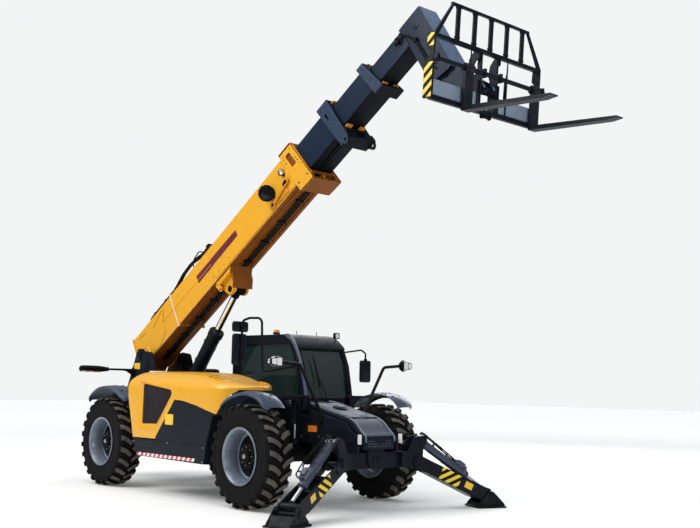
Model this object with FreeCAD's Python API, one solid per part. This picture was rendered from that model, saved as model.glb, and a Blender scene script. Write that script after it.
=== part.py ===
import FreeCAD, Part
import os
import math

# Telehandler with a four-section boom, standing on its wheels and two front stabilisers.
# Units mm. +X forward, +Y left, +Z up. Everything is laid out from the ground under the
# rear axle; X_SHIFT moves it so that the row's origin is the middle of the bounding box
# on the ground.
os.makedirs("parts", exist_ok=True)

V = FreeCAD.Vector

# ---------------------------------------------------------------- driving dimensions
X_SHIFT = -2937.25        # rear axle to the middle of the overall length
WHEELBASE = 3400.0
TYRE_R = 620.0
TYRE_HALF_W = 176.0
RIM_SEAT_R = 322.0
RIM_FLANGE_R = 342.0
TRACK_HALF = 1046.0       # tyre centre plane from the centre line
KINGPIN_Y = 840.0
FRAME_Y = 300.0           # inside face of each frame plate
FRAME_T = 30.0

BOOM_DEG = 32.42          # boom angle as it stands
PIVOT_S, PIVOT_N = 550.0, 1870.0      # boom foot pin, in the boom's own axes
RAM_S, RAM_N = 2807.0, 1537.0         # lift ram's top pin, in the boom's own axes
RAM_BASE = (-30.0, 930.0)             # lift ram's foot pin, x and z
HEAD_S, HEAD_N = 7720.0, 720.0        # carriage pin, in the boom's own axes

FORK_DEG = -4.2           # forks' slope as they stand
HEEL = (6165.0, 4415.0)   # carriage front plane at the forks' underside, x and z
FORK_L, FORK_W, FORK_T = 1180.0, 130.0, 50.0
CARRIAGE_HALF = 895.0
FORK_Y = {"right": -380.0, "left": 765.0}

STAB_X, STAB_Y = 4458.0, 660.0        # stabiliser leg pin on the ground plan
STAB_Z = 590.0
STAB_SPLAY = 69.5                     # leg direction from +X, degrees, left side
STAB_TOP = (50.0, 822.0)              # leg ram's top pin, outward and up
STAB_ROD = (950.0, 205.0)             # leg ram's rod pin
STAB_FOOT = (980.0, 130.0)            # foot pin


# ---------------------------------------------------------------- helpers
def box(x0, x1, y0, y1, z0, z1):
    return Part.makeBox(x1 - x0, y1 - y0, z1 - z0, V(x0, y0, z0))


def face(points):
    return Part.Face(Part.makePolygon([V(*p) for p in points] + [V(*points[0])]))


def poly_y(pts, y0, y1):
    """Outline in X and Z, from y0 to y1."""
    return face([(x, y0, z) for x, z in pts]).extrude(V(0, y1 - y0, 0))


def poly_z(pts, z0, z1):
    return face([(x, y, z0) for x, y in pts]).extrude(V(0, 0, z1 - z0))


def poly_x(pts, x0, x1):
    return face([(x0, y, z) for y, z in pts]).extrude(V(x1 - x0, 0, 0))


def rod(a, b, r):
    a, b = V(*a), V(*b)
    return Part.makeCylinder(r, (b - a).Length, a, b - a)


def cyl_y(x, z, r, y0, y1):
    return Part.makeCylinder(r, y1 - y0, V(x, y0, z), V(0, 1, 0))


def tube_path(points, r):
    """Bent round tube: straight runs with a ball at each bend."""
    parts = [rod(a, b, r) for a, b in zip(points, points[1:])]
    parts += [Part.makeSphere(r, V(*p)) for p in points[1:-1]]
    return fuse(parts)


def fuse(parts):
    out = parts[0]
    for p in parts[1:]:
        out = out.fuse(p)
    return out.removeSplitter()


def cut(a, parts):
    for p in parts:
        a = a.cut(p)
    return a


def mirror(s):
    return s.mirror(V(0, 0, 0), V(0, 1, 0))


def both(s):
    return Part.makeCompound([s, mirror(s)])


def offset_line(pts, t):
    """Polyline moved sideways by t, to its left, with mitred corners."""
    out = []
    n = len(pts)
    for i in range(n):
        dirs = []
        if i > 0:
            dirs.append((pts[i][0] - pts[i - 1][0], pts[i][1] - pts[i - 1][1]))
        if i < n - 1:
            dirs.append((pts[i + 1][0] - pts[i][0], pts[i + 1][1] - pts[i][1]))
        units = [(a / math.hypot(a, b), b / math.hypot(a, b)) for a, b in dirs]
        nx = sum(-u[1] for u in units)
        nz = sum(u[0] for u in units)
        ln = math.hypot(nx, nz)
        nx, nz = nx / ln, nz / ln
        k = t / (nx * -units[0][1] + nz * units[0][0])
        out.append((pts[i][0] + nx * k, pts[i][1] + nz * k))
    return out


def sheet_y(pts, t, y0, y1):
    """Bent sheet: polyline in X and Z, thickness t, from y0 to y1."""
    return poly_y(pts + list(reversed(offset_line(pts, t))), y0, y1)


def boom_axes(s):
    s = s.copy()
    s.rotate(V(0, 0, 0), V(0, 1, 0), -BOOM_DEG)
    return s


def boom_point(s, n):
    c, d = math.cos(math.radians(BOOM_DEG)), math.sin(math.radians(BOOM_DEG))
    return (s * c - n * d, s * d + n * c)


def fork_axes(s):
    """From carriage axes (forward, left, up from the heel) to the machine's."""
    s = s.copy()
    s.rotate(V(0, 0, 0), V(0, 1, 0), -FORK_DEG)
    s.translate(V(HEEL[0], 0, HEEL[1]))
    return s


def stab_axes(s):
    """From leg axes (outward, across, up) to the left side of the machine."""
    s = s.copy()
    s.rotate(V(0, 0, 0), V(0, 0, 1), STAB_SPLAY)
    s.translate(V(STAB_X, STAB_Y, 0))
    return s


def oriented(a, b, pts, y0, y1):
    """Outline given along and across the line from a to b, extruded across it."""
    ln = math.hypot(b[0] - a[0], b[1] - a[1])
    ux, uz = (b[0] - a[0]) / ln, (b[1] - a[1]) / ln
    return poly_y([(a[0] + t * ux - n * uz, a[1] + t * uz + n * ux) for t, n in pts], y0, y1)


NODES = {}


def put(name, shape):
    s = shape.copy()
    s.translate(V(X_SHIFT, 0, 0))
    NODES[name] = s


# ---------------------------------------------------------------- frame
px, pz = boom_point(PIVOT_S, PIVOT_N)
bx, bz = RAM_BASE
FRAME_OUTLINE = [
    (-900, 640), (-900, 1380), (-700, 1800), (px - 115, pz + 45), (px - 60, pz + 108), (px + 60, pz + 108),
    (px + 115, pz + 45), (-330, 1700), (-150, 1420), (300, 1160), (2600, 1160), (2900, 1215), (3420, 1215),
    (3900, 1115), (4250, 1035), (4440, 900), (4495, 840), (4495, 700), (4325, 700), (4325, 488), (4200, 470), (3760, 470),
    (3640, 780), (3160, 780), (3040, 470), (500, 470), (240, 780), (-240, 780), (-420, 640)]
plate = poly_y(FRAME_OUTLINE, FRAME_Y, FRAME_Y + FRAME_T)
CROSS = [
    # x0, x1, z0, z1 of each member between the plates
    (-890, -850, 700, 1360),
    (-130, 70, 802, 830),
    (500, 2800, 470, 482),
    (2780, 2800, 482, 1100),
    (4180, 4200, 480, 1020),
    (-850, -260, 790, 802),
]
members = [box(x0, x1, -FRAME_Y, FRAME_Y, z0, z1) for x0, x1, z0, z1 in CROSS]
# foot of the lift ram: two lugs and the pin
lug = poly_y([(bx - 95, 825), (bx + 95, 825), (bx + 60, bz + 60), (bx - 60, bz + 60)], 92, 118)
ram_pin = cyl_y(bx, bz, 40, -118, 118)
# boom foot pin through both towers
boom_pin = cyl_y(px, pz, 35, -345, 345)
side_caps = cyl_y(px, pz, 75, 330, 350)
frame = fuse([plate, mirror(plate)] + members + [lug, mirror(lug), ram_pin, boom_pin, side_caps, mirror(side_caps)])
put("chassis_frame", frame)

# ---------------------------------------------------------------- counterweight and tow hitch
cw = poly_y([(-1400, 700), (-1400, 1120), (-1260, 1330), (-902, 1330), (-902, 620), (-1320, 620)], -520, 520)
hitch = cut(fuse([box(-1470, -1395, -55, 55, 780, 800), box(-1470, -1395, -55, 55, 880, 900)]),
            [rod((-1440, 0, 700), (-1440, 0, 1000), 20)])
tie = cut(poly_x([(340, 640), (350, 560), (470, 560), (480, 640), (480, 720), (340, 720)], -1380, -1355), [rod((-1400, 410, 600), (-1300, 410, 600), 22)])
cw = fuse([cw, hitch, tie, mirror(tie)])
put("counterweight", cw)

# ---------------------------------------------------------------- axles
axles = []
for ax in (0.0, WHEELBASE):
    body = fuse([Part.makeSphere(168, V(ax, 0, TYRE_R)), rod((ax, -640, TYRE_R), (ax, 640, TYRE_R), 85)])
    yoke = fuse([box(ax - 85, ax + 85, 620, 710, TYRE_R - 215, TYRE_R + 215),
                 box(ax - 65, ax + 65, 700, 900, TYRE_R + 180, TYRE_R + 215),
                 box(ax - 65, ax + 65, 700, 900, TYRE_R - 215, TYRE_R - 180)])
    mount = box(ax - 110, ax + 110, -299, 299, TYRE_R + 120, TYRE_R + 158)
    axles.append(fuse([body, yoke, mirror(yoke), mount]))
put("axle_housings", Part.makeCompound(axles))

# ---------------------------------------------------------------- steering knuckles, rims and tyres
TYRE_PROFILE = [(324, -163), (345, -165), (470, -176), (560, -172), (602, -150), (620, -118),
                (620, 118), (602, 150), (560, 172), (470, 176), (345, 165), (324, 163)]
RIM_PROFILE = [(300, -178), (342, -178), (342, -167), (322, -165), (322, 165), (342, 167), (342, 178), (300, 178)]


def revolve_y(profile, x, y, z):
    f = face([(x + r, y + a, z) for r, a in profile])
    return f.revolve(V(x, y, z), V(0, 1, 0), 360)


CORNERS = [("front_left", WHEELBASE, 1), ("front_right", WHEELBASE, -1), ("rear_left", 0.0, 1), ("rear_right", 0.0, -1)]
for name, ax, side in CORNERS:
    knuckle = fuse([rod((ax, KINGPIN_Y, TYRE_R - 172), (ax, KINGPIN_Y, TYRE_R + 172), 62),
                    rod((ax, KINGPIN_Y, TYRE_R), (ax, 950, TYRE_R), 95),
                    box(ax - 150, ax - 40, KINGPIN_Y - 20, KINGPIN_Y + 20, TYRE_R - 110, TYRE_R - 80)])
    rim = fuse([revolve_y(RIM_PROFILE, ax, TRACK_HALF, TYRE_R),
                cut(rod((ax, 1010, TYRE_R), (ax, 1028, TYRE_R), 305), []),
                rod((ax, 960, TYRE_R), (ax, 1100, TYRE_R), 115)])
    tyre = revolve_y(TYRE_PROFILE, ax, TRACK_HALF, TYRE_R)
    for node, shape in (("knuckle_", knuckle), ("rim_", rim), ("tyre_", tyre)):
        put(node + name, shape if side > 0 else mirror(shape))

# ---------------------------------------------------------------- fenders
FENDER_REAR = [(-513, 1192), (-400, 1290), (-220, 1375), (-43, 1404), (180, 1390), (400, 1325), (585, 1232)]
FENDER_FRONT = [(2925, 1170), (3000, 1245), (3160, 1325), (3430, 1378), (3650, 1352), (3790, 1290), (3890, 1200)]
fenders = []
for line, cx, top, y0, y1 in ((FENDER_REAR, 0, 1394, 850, 1210), (FENDER_FRONT, WHEELBASE + 160, 1357, 925, 1222)):
    skin = sheet_y(line, -6, y0, y1)
    strut = fuse([box(cx - 40, cx + 40, 400, y0 + 10, top - 26, top), box(cx - 40, cx + 40, 332, 425, 1170, top)])
    one = fuse([skin, strut])
    fenders += [one, mirror(one)]
put("fenders", Part.makeCompound(fenders))

# ---------------------------------------------------------------- engine bay, engine and hood (right side)
BAY = [(872, 712), (1440, 712), (1893, 1232), (2795, 1078), (2655, 700), (2625, 470), (985, 485)]
bay_out = poly_y(BAY, -1190, -335)
bay_in = poly_y([(884, 760), (1440, 760), (1893, 1300), (2860, 1300), (2786, 1074), (2648, 702), (2618, 477), (990, 492)], -1183, -335)
put("engine_bay", cut(bay_out, [bay_in]))
put("engine_block", box(1200, 2250, -1000, -500, 500, 1200))

HOOD = [(850, 725), (645, 1210), (612, 1450), (680, 1570), (850, 1622), (2000, 1608), (2500, 1560),
        (3050, 1455), (3340, 1412), (3340, 1392), (3080, 1390), (2960, 1275), (2822, 1095), (1890, 1252), (1433, 728)]
HOOD_IN = [(862, 400), (862, 728), (654, 1212), (621, 1450), (687, 1563), (852, 1613), (2000, 1599), (2499, 1551),
           (3048, 1446), (3332, 1404), (3332, 400)]
hood_edge = [(-1200, 1400), (-1190, 1400), (-1040, 1560), (-900, 1620), (-900, 1700), (-1200, 1700)]
hood_out = poly_y(HOOD, -1195, -365)
hood_out = hood_out.cut(poly_x(hood_edge, 500, 3500))
hood_in = poly_y(HOOD_IN, -1187, -373)
hood_in = hood_in.cut(poly_x([(y + 6, z - 8) for y, z in hood_edge], 500, 3500))
plan = poly_z([(400, -300), (3040, -300), (3340, -640), (3340, -900), (3080, -1300), (400, -1300)], 300, 1800)
plan_in = poly_z([(400, -300), (3036, -300), (3332, -642), (3332, -898), (3075, -1292), (400, -1292)], 300, 1800)
hood = hood_out.common(plan).cut(hood_in.common(plan_in))
hood = hood.cut(box(500, 3400, -380, -360, 300, 1390))
VENT = [(1057, 1455), (1840, 1372), (1417, 930), (1052, 918)]
hood = hood.cut(poly_y(VENT, -1250, -1150))
hood = fuse([hood] + [rod((x, -372, 1500), (x + 90, -372, 1500), 10) for x in (1000, 2000)])
put("engine_hood", hood)
GRILLE = [(1037, 1472), (1858, 1387), (1427, 912), (1032, 900)]
grille = poly_x([(-1186, 880), (-1186, 1387), (-1100, 1479), (-1094, 1474), (-1178, 1384), (-1178, 880)], 1000, 1900)
put("hood_grille", grille.common(poly_y(GRILLE, -1250, -1050)))

# ---------------------------------------------------------------- cab (left side)
CAB = [(1000, 720), (1000, 1950), (1060, 2100), (1240, 2170), (2200, 2160), (2335, 2120), (2500, 2000),
       (2620, 1740), (2690, 1400), (2712, 1240), (2610, 1190), (2590, 720)]
CAB_IN = [(1040, 760), (1040, 1945), (1090, 2068), (1250, 2130), (2190, 2120), (2312, 2084), (2465, 1978),
          (2580, 1730), (2650, 1395), (2668, 1262), (2572, 1215), (2552, 760)]
shell = poly_y(CAB, 335, 1190).cut(poly_y(CAB_IN, 367, 1150))
DOOR = [(1500, 790), (2500, 790), (2545, 1200), (2590, 1260), (2570, 1420), (2510, 1720), (2400, 1960), (2320, 2040), (1500, 2040)]
SIDE_WIN = [(1180, 1290), (2580, 1290), (2570, 1420), (2510, 1720), (2400, 1960), (2320, 2040), (1180, 2040)]
CUTTERS = [
    box(2200, 2900, 372, 1130, 1290, 1975),          # windscreen
    box(900, 1080, 400, 1100, 1290, 2000),           # rear window
    box(1450, 2120, 420, 1080, 2060, 2300),          # roof window
    poly_y(SIDE_WIN, 290, 380),                      # right window
    poly_y(DOOR, 1140, 1200),                        # door opening
    poly_y([(1120, 1290), (1440, 1290), (1440, 2000), (1120, 2000)], 1140, 1200),
]
put("cab_shell", cut(shell, CUTTERS))
WS = [(2672, 1292), (2648, 1400), (2590, 1730), (2483, 1966)]
glass = [
    sheet_y(WS, -6, 374, 1128),
    box(1012, 1018, 402, 1098, 1292, 1998),
    box(1452, 2118, 422, 1078, 2138, 2144),
    poly_y(offset_line(SIDE_WIN + [SIDE_WIN[0]], 2)[:-1], 348, 354),
    box(1122, 1438, 1168, 1174, 1292, 1998),
]
put("cab_glass", Part.makeCompound(glass))
DOOR_OUT = [(1506, 796), (2494, 796), (2539, 1204), (2583, 1262), (2564, 1418), (2504, 1718), (2395, 1956), (2317, 2034), (1506, 2034)]
door = poly_y(DOOR_OUT, 1152, 1188)
DOOR_WIN = [(1560, 1200), (2480, 1200), (2520, 1270), (2505, 1410), (2450, 1690), (2350, 1920), (2290, 1975), (1560, 1975)]
DOOR_LOW = [(1560, 860), (2440, 860), (2470, 1130), (1560, 1130)]
door = cut(door, [poly_y(DOOR_WIN, 1100, 1200), poly_y(DOOR_LOW, 1100, 1200)])
for z in (930, 1830):
    door = door.fuse(rod((1500, 1203, z), (1500, 1203, z + 60), 10)).fuse(box(1506, 1556, 1188, 1196, z, z + 60))
put("cab_door", door)
put("door_glass", Part.makeCompound([
    poly_y(offset_line(DOOR_WIN + [DOOR_WIN[0]], 1)[:-1], 1167, 1173),
    poly_y(offset_line(DOOR_LOW + [DOOR_LOW[0]], 1)[:-1], 1167, 1173)]))
seat = fuse([box(1480, 1960, 520, 980, 1000, 1120), box(1400, 1500, 530, 970, 1080, 1640),
             box(1420, 1490, 620, 880, 1660, 1800), box(1440, 1470, 700, 800, 1600, 1680),
             box(1500, 1900, 600, 900, 762, 1010)])
put("seat", seat)
dash = fuse([poly_y([(2280, 762), (2540, 762), (2560, 1200), (2560, 1255), (2430, 1270), (2290, 1180)], 420, 1080),
             rod((2330, 750, 1160), (2180, 750, 1320), 28)])
wheel = Part.makeTorus(190, 16, V(2180, 750, 1320), V(-0.68, 0, 0.73))
spoke = rod((2180, 560, 1320), (2180, 940, 1320), 12)
put("dashboard", fuse([dash, spoke, wheel]))

# ---------------------------------------------------------------- side tank with steps, under the cab
tank = box(1010, 2560, 345, 1150, 480, 712)
steps = [box(1560, 2440, 1080, 1180, z, z + 12) for z in (470, 600)]
put("side_tank", cut(tank, [box(1580, 2420, 1000, 1200, 500, 700)]).fuse(box(1560, 2440, 1000, 1185, 590, 602)).fuse(
    box(1560, 2440, 1000, 1185, 480, 492)).removeSplitter())

# ---------------------------------------------------------------- nose cover
NOSE = [(3010, 1262), (3420, 1250), (3900, 1150), (4270, 1068), (4455, 930), (4520, 870), (4520, 720)]
put("nose_cover", sheet_y(NOSE, -8, -242, 242))

# ---------------------------------------------------------------- stabiliser beam
beam = [box(4330, 4440, -470, 470, 512, 690),
        poly_x([(-140, 740), (-128, 600), (-112, 548), (-70, 508), (0, 496), (70, 508), (112, 548), (128, 600), (140, 740)], 4440, 4466)]
TOWER = [(-190, 508), (-30, 500), (45, 535), (72, 590), (58, 650), (64, 730), (100, 785), (112, 825), (95, 868), (50, 884),
         (-45, 866), (-145, 694), (-190, 694)]
tower = []
for w in (84, -104):
    tower.append(stab_axes(poly_y(TOWER, w, w + 20)))
tower.append(stab_axes(cyl_y(0, STAB_Z, 30, -142, 142)))
tower.append(stab_axes(cyl_y(STAB_TOP[0], STAB_TOP[1], 25, -106, 106)))
tower.append(box(4310, 4500, 400, 545, 512, 690))
tower = fuse(tower)
beam = fuse(beam + [tower, mirror(tower)])
put("stabiliser_beam", beam)

# ---------------------------------------------------------------- stabiliser legs
# two side plates outside the towers, closed underneath
a, b = (0.0, STAB_Z), STAB_FOOT
leg_len = math.hypot(b[0] - a[0], b[1] - a[1])
SIDE = [(-62, -55), (-62, 30), (-35, 58), (60, 60), (172, 60), (986, 82), (leg_len + 30, 58), (leg_len + 45, 0), (leg_len + 28, -48), (leg_len - 60, -84),
        (460, -95), (60, -95), (-20, -85)]
side_plate = oriented(a, b, SIDE, 114, 130)
leg = [side_plate, mirror(side_plate), oriented(a, b, [(160, -90), (160, -78), (900, -78), (900, -90)], -115, 115)]
for boss in (cyl_y(STAB_ROD[0], STAB_ROD[1], 34, 106, 134), cyl_y(a[0], a[1], 52, 129, 136)):
    leg += [boss, mirror(boss)]
leg = cut(fuse(leg), [cyl_y(a[0], a[1], 30.06, -200, 200), cyl_y(b[0], b[1], 25.06, -200, 200)])
# foot: sole, two cheeks outside the leg and a sloping front wall
cheek = poly_y([(b[0] - 190, 18), (b[0] + 188, 18), (b[0] + 185, 45), (b[0] + 32, b[1] + 64), (b[0] + 5, b[1] + 73), (b[0] - 25, b[1] + 68), (b[0] - 182, 45)], 140, 152)
foot = fuse([box(b[0] - 195, b[0] + 192, -185, 185, 0, 20), cheek, mirror(cheek),
             poly_y([(b[0] + 170, 18), (b[0] + 186, 18), (b[0] + 105, 120), (b[0] + 89, 120)], -141, 141),
             cyl_y(b[0], b[1], 25, -152, 152)])
t, r = STAB_TOP, STAB_ROD
ram_len = math.hypot(r[0] - t[0], r[1] - t[1])
ux, uz = (r[0] - t[0]) / ram_len, (r[1] - t[1]) / ram_len


def along(p, d):
    return (p[0] + ux * d, 0, p[1] + uz * d)


leg_barrel = fuse([cyl_y(t[0], t[1], 48, -70, 70), rod(along(t, 30), along(t, 784), 52)])
leg_barrel = cut(leg_barrel, [cyl_y(t[0], t[1], 25.06, -90, 90), rod(along(t, 60), along(t, 800), 29)])
leg_rod = fuse([cyl_y(r[0], r[1], 36, -100, 100), rod(along(t, 300), along(t, ram_len - 20), 28)])
for name, shape in (("stabiliser_leg", leg), ("stabiliser_foot", foot), ("stabiliser_barrel", leg_barrel), ("stabiliser_rod", leg_rod)):
    left = stab_axes(shape)
    put(name + "_left", left)
    put(name + "_right", mirror(left))

# ---------------------------------------------------------------- lamps, mirrors and their arms
arm = tube_path([(3850, 352, 1040), (3850, 352, 1130), (3850, 693, 1712), (3850, 990, 1738)], 20)
foot_block = box(3815, 3885, 330, 345, 990, 1090)
arm = arm.fuse(foot_block)
frame_r = fuse([mirror(arm), tube_path([(3850, -690, 1700), (3850, -1250, 1610), (3850, -1275, 2235), (3850, -1450, 2225), (3850, -1552, 2188), (3850, -1552, 1690)], 14)])
mirror_l = tube_path([(2470, 1190, 1940), (2470, 1222, 1940), (2700, 1345, 1975), (2742, 1390, 1930), (2742, 1390, 1832)], 12)
tail = rod((-700, 330, 1655), (-700, 790, 1655), 16).fuse(poly_x([(330, 1490), (330, 1650), (600, 1650)], -707, -693))
put("lamp_arms", Part.makeCompound([arm, frame_r, mirror_l, tail, mirror(tail)]))
head = box(3800, 3900, 992, 1170, 1672, 1806)
tail_lamp = rod((-700, 790, 1656), (-700, 1250, 1656), 50)
lamps = [head, mirror(head), tail_lamp, mirror(tail_lamp),
         box(2420, 2480, 1040, 1130, 2125, 2215), rod((1850, 480, 2166), (1850, 480, 2260), 60)]
put("lamps", Part.makeCompound(lamps))
put("mirrors", Part.makeCompound([box(3806, 3835, -1660, -1460, 1680, 2040), box(3806, 3835, -1665, -1445, 2060, 2180),
                                  box(2725, 2760, 1290, 1490, 1520, 1830)]))

# ---------------------------------------------------------------- frame levelling strut (right front)
put("levelling_strut", fuse([rod((3450, -430, 1330), (3450, -430, 1010), 38), rod((3450, -430, 1010), (3450, -430, 800), 22),
                             box(3410, 3490, -440, -332, 1290, 1340), box(3410, 3490, -346, -332, 1100, 1340)]))

# ---------------------------------------------------------------- boom
SECTIONS = [
    # name, rear end, front end, underside, top, half width, wall, collar outline, collar half width
    ("boom_section_1", 330, 4990, 1762, 2310, 216, 10, [(4720, 2347), (4990, 2345), (5140, 1622), (4850, 1632)], 245),
    ("boom_section_2", 1000, 5850, 1805, 2261, 190, 8, [(5595, 2330), (5817, 2335), (5905, 1650), (5738, 1650)], 216),
    ("boom_section_3", 1400, 6600, 1865, 2235, 165, 8, [(6418, 2289), (6540, 2273), (6671, 1810), (6516, 1819)], 186),
    ("boom_section_4", 1750, 7300, 1894, 2169, 141, 8, None, 0),
]
for name, s0, s1, n0, n1, w, wall, collar, cw_half in SECTIONS:
    body = box(s0, s1, -w, w, n0, n1)
    bore = box(s0 - 50, s1 + 600, -(w - wall), w - wall, n0 + wall, n1 - wall)
    if collar:
        body = body.fuse(poly_y(collar, -cw_half, cw_half))
    shape = body.cut(bore)
    if name == "boom_section_1":
        foot_tube = cyl_y(PIVOT_S, PIVOT_N, 78, -292, 292)
        ears = [poly_y([(2590, 1764), (3030, 1764), (RAM_S + 70, RAM_N - 50), (RAM_S + 20, RAM_N - 72), (RAM_S - 40, RAM_N - 66), (RAM_S - 80, RAM_N - 20)], y, y + 26) for y in (92, -118)]
        shape = fuse([shape, foot_tube] + ears + [cyl_y(RAM_S, RAM_N, 46, 92, 135), cyl_y(RAM_S, RAM_N, 46, -135, -92)])
        shape = shape.cut(cyl_y(PIVOT_S, PIVOT_N, 35.06, -400, 400))
    if name == "boom_section_4":
        hx, hn = HEAD_S, HEAD_N
        outer = poly_y([(7240, 2185), (7600, 2190), (7600, 1200), (7240, 1260)], -150, 150)
        neck = poly_y([(7240, 1262), (7600, 1262), (7600, 1200), (hx + 66, hn + 20), (hx + 50, hn - 45), (hx, hn - 66), (hx - 50, hn - 45), (hx - 68, hn)], -100, 100)
        inner = poly_y([(7255, 2170), (7585, 2175), (7585, 1215), (7255, 1272)], -138, 138)
        shape = fuse([shape.cut(poly_y([(7240, 2185), (7600, 2190), (7600, 1200), (7240, 1260)], -200, 200)), outer.cut(inner), neck])
        shape = shape.cut(cyl_y(hx, hn, 30.06, -200, 200))
    put(name, boom_axes(shape))

# ---------------------------------------------------------------- lift ram
tx, tz = boom_point(RAM_S, RAM_N)
lift_len = math.hypot(tx - bx, tz - bz)
lx, lz = (tx - bx) / lift_len, (tz - bz) / lift_len


def lift(d):
    return (bx + lx * d, 0, bz + lz * d)


barrel = fuse([cyl_y(bx, bz, 82, -85, 85), rod(lift(40), lift(120), 80), rod(lift(105), lift(1690), 98), rod(lift(1600), lift(1690), 112)])
barrel = cut(barrel, [cyl_y(bx, bz, 40.06, -90, 90), rod(lift(88), lift(1700), 51)])
put("lift_barrel", barrel)
lrod = fuse([rod(lift(745), lift(lift_len - 40), 50), cyl_y(tx, tz, 78, -85, 85)])
put("lift_rod", lrod)

# ---------------------------------------------------------------- carriage, load guard and forks
# carriage pin in carriage axes
hdx, hdz = boom_point(HEAD_S, HEAD_N)[0] - HEEL[0], boom_point(HEAD_S, HEAD_N)[1] - HEEL[1]
fc, fs = math.cos(math.radians(FORK_DEG)), math.sin(math.radians(FORK_DEG))
PU, PH = hdx * fc + hdz * fs, hdz * fc - hdx * fs
side = fuse([poly_y([(-135, 60), (-5, 40), (-5, 750), (-112, 750), (-118, 610), (-70, 560), (-70, 500), (-135, 440)], 875, 895)])
hitch_plate = poly_y([(-55, 750), (-8, 750), (-8, 40), (-60, 40), (-120, 120), (-125, 420), (-60, 520)], 120, 148)
carriage = [side, mirror(side), hitch_plate, mirror(hitch_plate),
            box(-50, -5, -CARRIAGE_HALF, CARRIAGE_HALF, 705, 750),
            box(-55, -8, -CARRIAGE_HALF, CARRIAGE_HALF, 35, 90),
            box(-40, -25, -876, -118, 90, 265), box(-40, -25, 118, 876, 90, 265),
            cyl_y(25, 470, 26, -CARRIAGE_HALF, CARRIAGE_HALF),
            cyl_y(PU, PH, 30, -160, 160)]
for y0, y1 in ((875, 895), (-895, -875), (120, 148), (-148, -120)):
    carriage.append(box(-30, 62, y0, y1, 420, 520))
put("carriage", fork_axes(fuse(carriage)))
guard = [box(-35, -5, -650, 650, 1110, 1140)]
for y in (-540, -270, 0, 270, 540):
    guard.append(box(-30, -10, y - 30, y + 30, 751, 1112))
for s in (1, -1):
    pts = [(s * 620, 1112), (s * 650, 1139), (s * 650, 1112), (s * 893, 751), (s * 835, 751)]
    guard.append(poly_x(pts, -33, -7))
put("load_guard", fork_axes(fuse(guard)))
for side_name, y in FORK_Y.items():
    blade = poly_y([(2, 0), (FORK_L - 120, 0), (FORK_L, 22), (FORK_L, 36), (60, 52), (52, 60), (52, 470), (2, 470)], y - FORK_W / 2, y + FORK_W / 2)
    eye = cyl_y(25, 470, 48, y - FORK_W / 2, y + FORK_W / 2)
    fork = fuse([blade, eye]).cut(cyl_y(25, 470, 26.5, -1000, 1000))
    put("fork_" + side_name, fork_axes(fork))

# ---------------------------------------------------------------- export
for name, shape in NODES.items():
    shape.exportStep("parts/%s.step" % name)
total = Part.makeCompound(list(NODES.values()))
bb = total.BoundBox
print(len(NODES), "nodes; bounds", [round(v, 1) for v in (bb.XMin, bb.XMax, bb.YMin, bb.YMax, bb.ZMin, bb.ZMax)])
print("volume m3", round(sum(s.Volume for s in NODES.values()) / 1e9, 3))
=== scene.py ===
import bpy
import bmesh
import math
import random
from mathutils import Vector, Matrix
from mathutils.geometry import tessellate_polygon


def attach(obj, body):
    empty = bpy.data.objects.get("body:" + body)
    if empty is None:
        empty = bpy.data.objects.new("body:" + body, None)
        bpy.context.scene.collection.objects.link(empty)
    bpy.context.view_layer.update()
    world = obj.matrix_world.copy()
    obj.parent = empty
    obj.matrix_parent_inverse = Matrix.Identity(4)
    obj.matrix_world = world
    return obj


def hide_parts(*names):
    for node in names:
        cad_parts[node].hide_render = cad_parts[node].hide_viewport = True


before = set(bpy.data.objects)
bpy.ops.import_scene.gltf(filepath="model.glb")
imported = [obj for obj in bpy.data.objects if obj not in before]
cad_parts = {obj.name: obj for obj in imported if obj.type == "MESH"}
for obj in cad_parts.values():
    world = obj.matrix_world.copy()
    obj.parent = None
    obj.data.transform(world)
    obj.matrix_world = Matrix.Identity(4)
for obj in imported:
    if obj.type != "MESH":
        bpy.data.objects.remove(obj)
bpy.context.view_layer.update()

random.seed(7)

# ---------------------------------------------------------------- frames of reference, in millimetres
XS = -2937.25
BOOM_DEG, FORK_DEG, SPLAY = 32.42, -4.2, 69.5
HEEL = (6165.0, 0.0, 4415.0)
STAB = (4458.0, 660.0, 0.0)
R = math.radians
MM = Matrix.Scale(0.001, 4)
RA = MM @ Matrix.Translation((XS, 0, 0))
BOOM = RA @ Matrix.Rotation(R(-BOOM_DEG), 4, "Y")
FORK = RA @ Matrix.Translation(HEEL) @ Matrix.Rotation(R(-FORK_DEG), 4, "Y")
FLIP = Matrix.Diagonal((1, -1, 1, 1))
STAB_L = RA @ Matrix.Translation(STAB) @ Matrix.Rotation(R(SPLAY), 4, "Z")
STAB_R = FLIP @ STAB_L


# ---------------------------------------------------------------- materials
def nodes_of(name):
    m = bpy.data.materials.new(name)
    m.use_nodes = True
    nt = m.node_tree
    bsdf = nt.nodes["Principled BSDF"]
    return m, nt, bsdf


def link(nt, a, ao, b, bi):
    nt.links.new(a.outputs[ao], b.inputs[bi])


def noise(nt, co, scale, detail=3.0, rough=0.55, stretch=None):
    n = nt.nodes.new("ShaderNodeTexNoise")
    n.inputs["Scale"].default_value = scale
    n.inputs["Detail"].default_value = detail
    n.inputs["Roughness"].default_value = rough
    if stretch:
        mp = nt.nodes.new("ShaderNodeMapping")
        mp.inputs["Scale"].default_value = stretch
        link(nt, co, "Object", mp, "Vector")
        link(nt, mp, "Vector", n, "Vector")
    else:
        link(nt, co, "Object", n, "Vector")
    return n


def ramp(nt, src, out, lo, hi, a, b):
    r = nt.nodes.new("ShaderNodeMapRange")
    r.inputs["From Min"].default_value = lo
    r.inputs["From Max"].default_value = hi
    r.inputs["To Min"].default_value = a
    r.inputs["To Max"].default_value = b
    link(nt, src, out, r, "Value")
    return r


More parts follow.
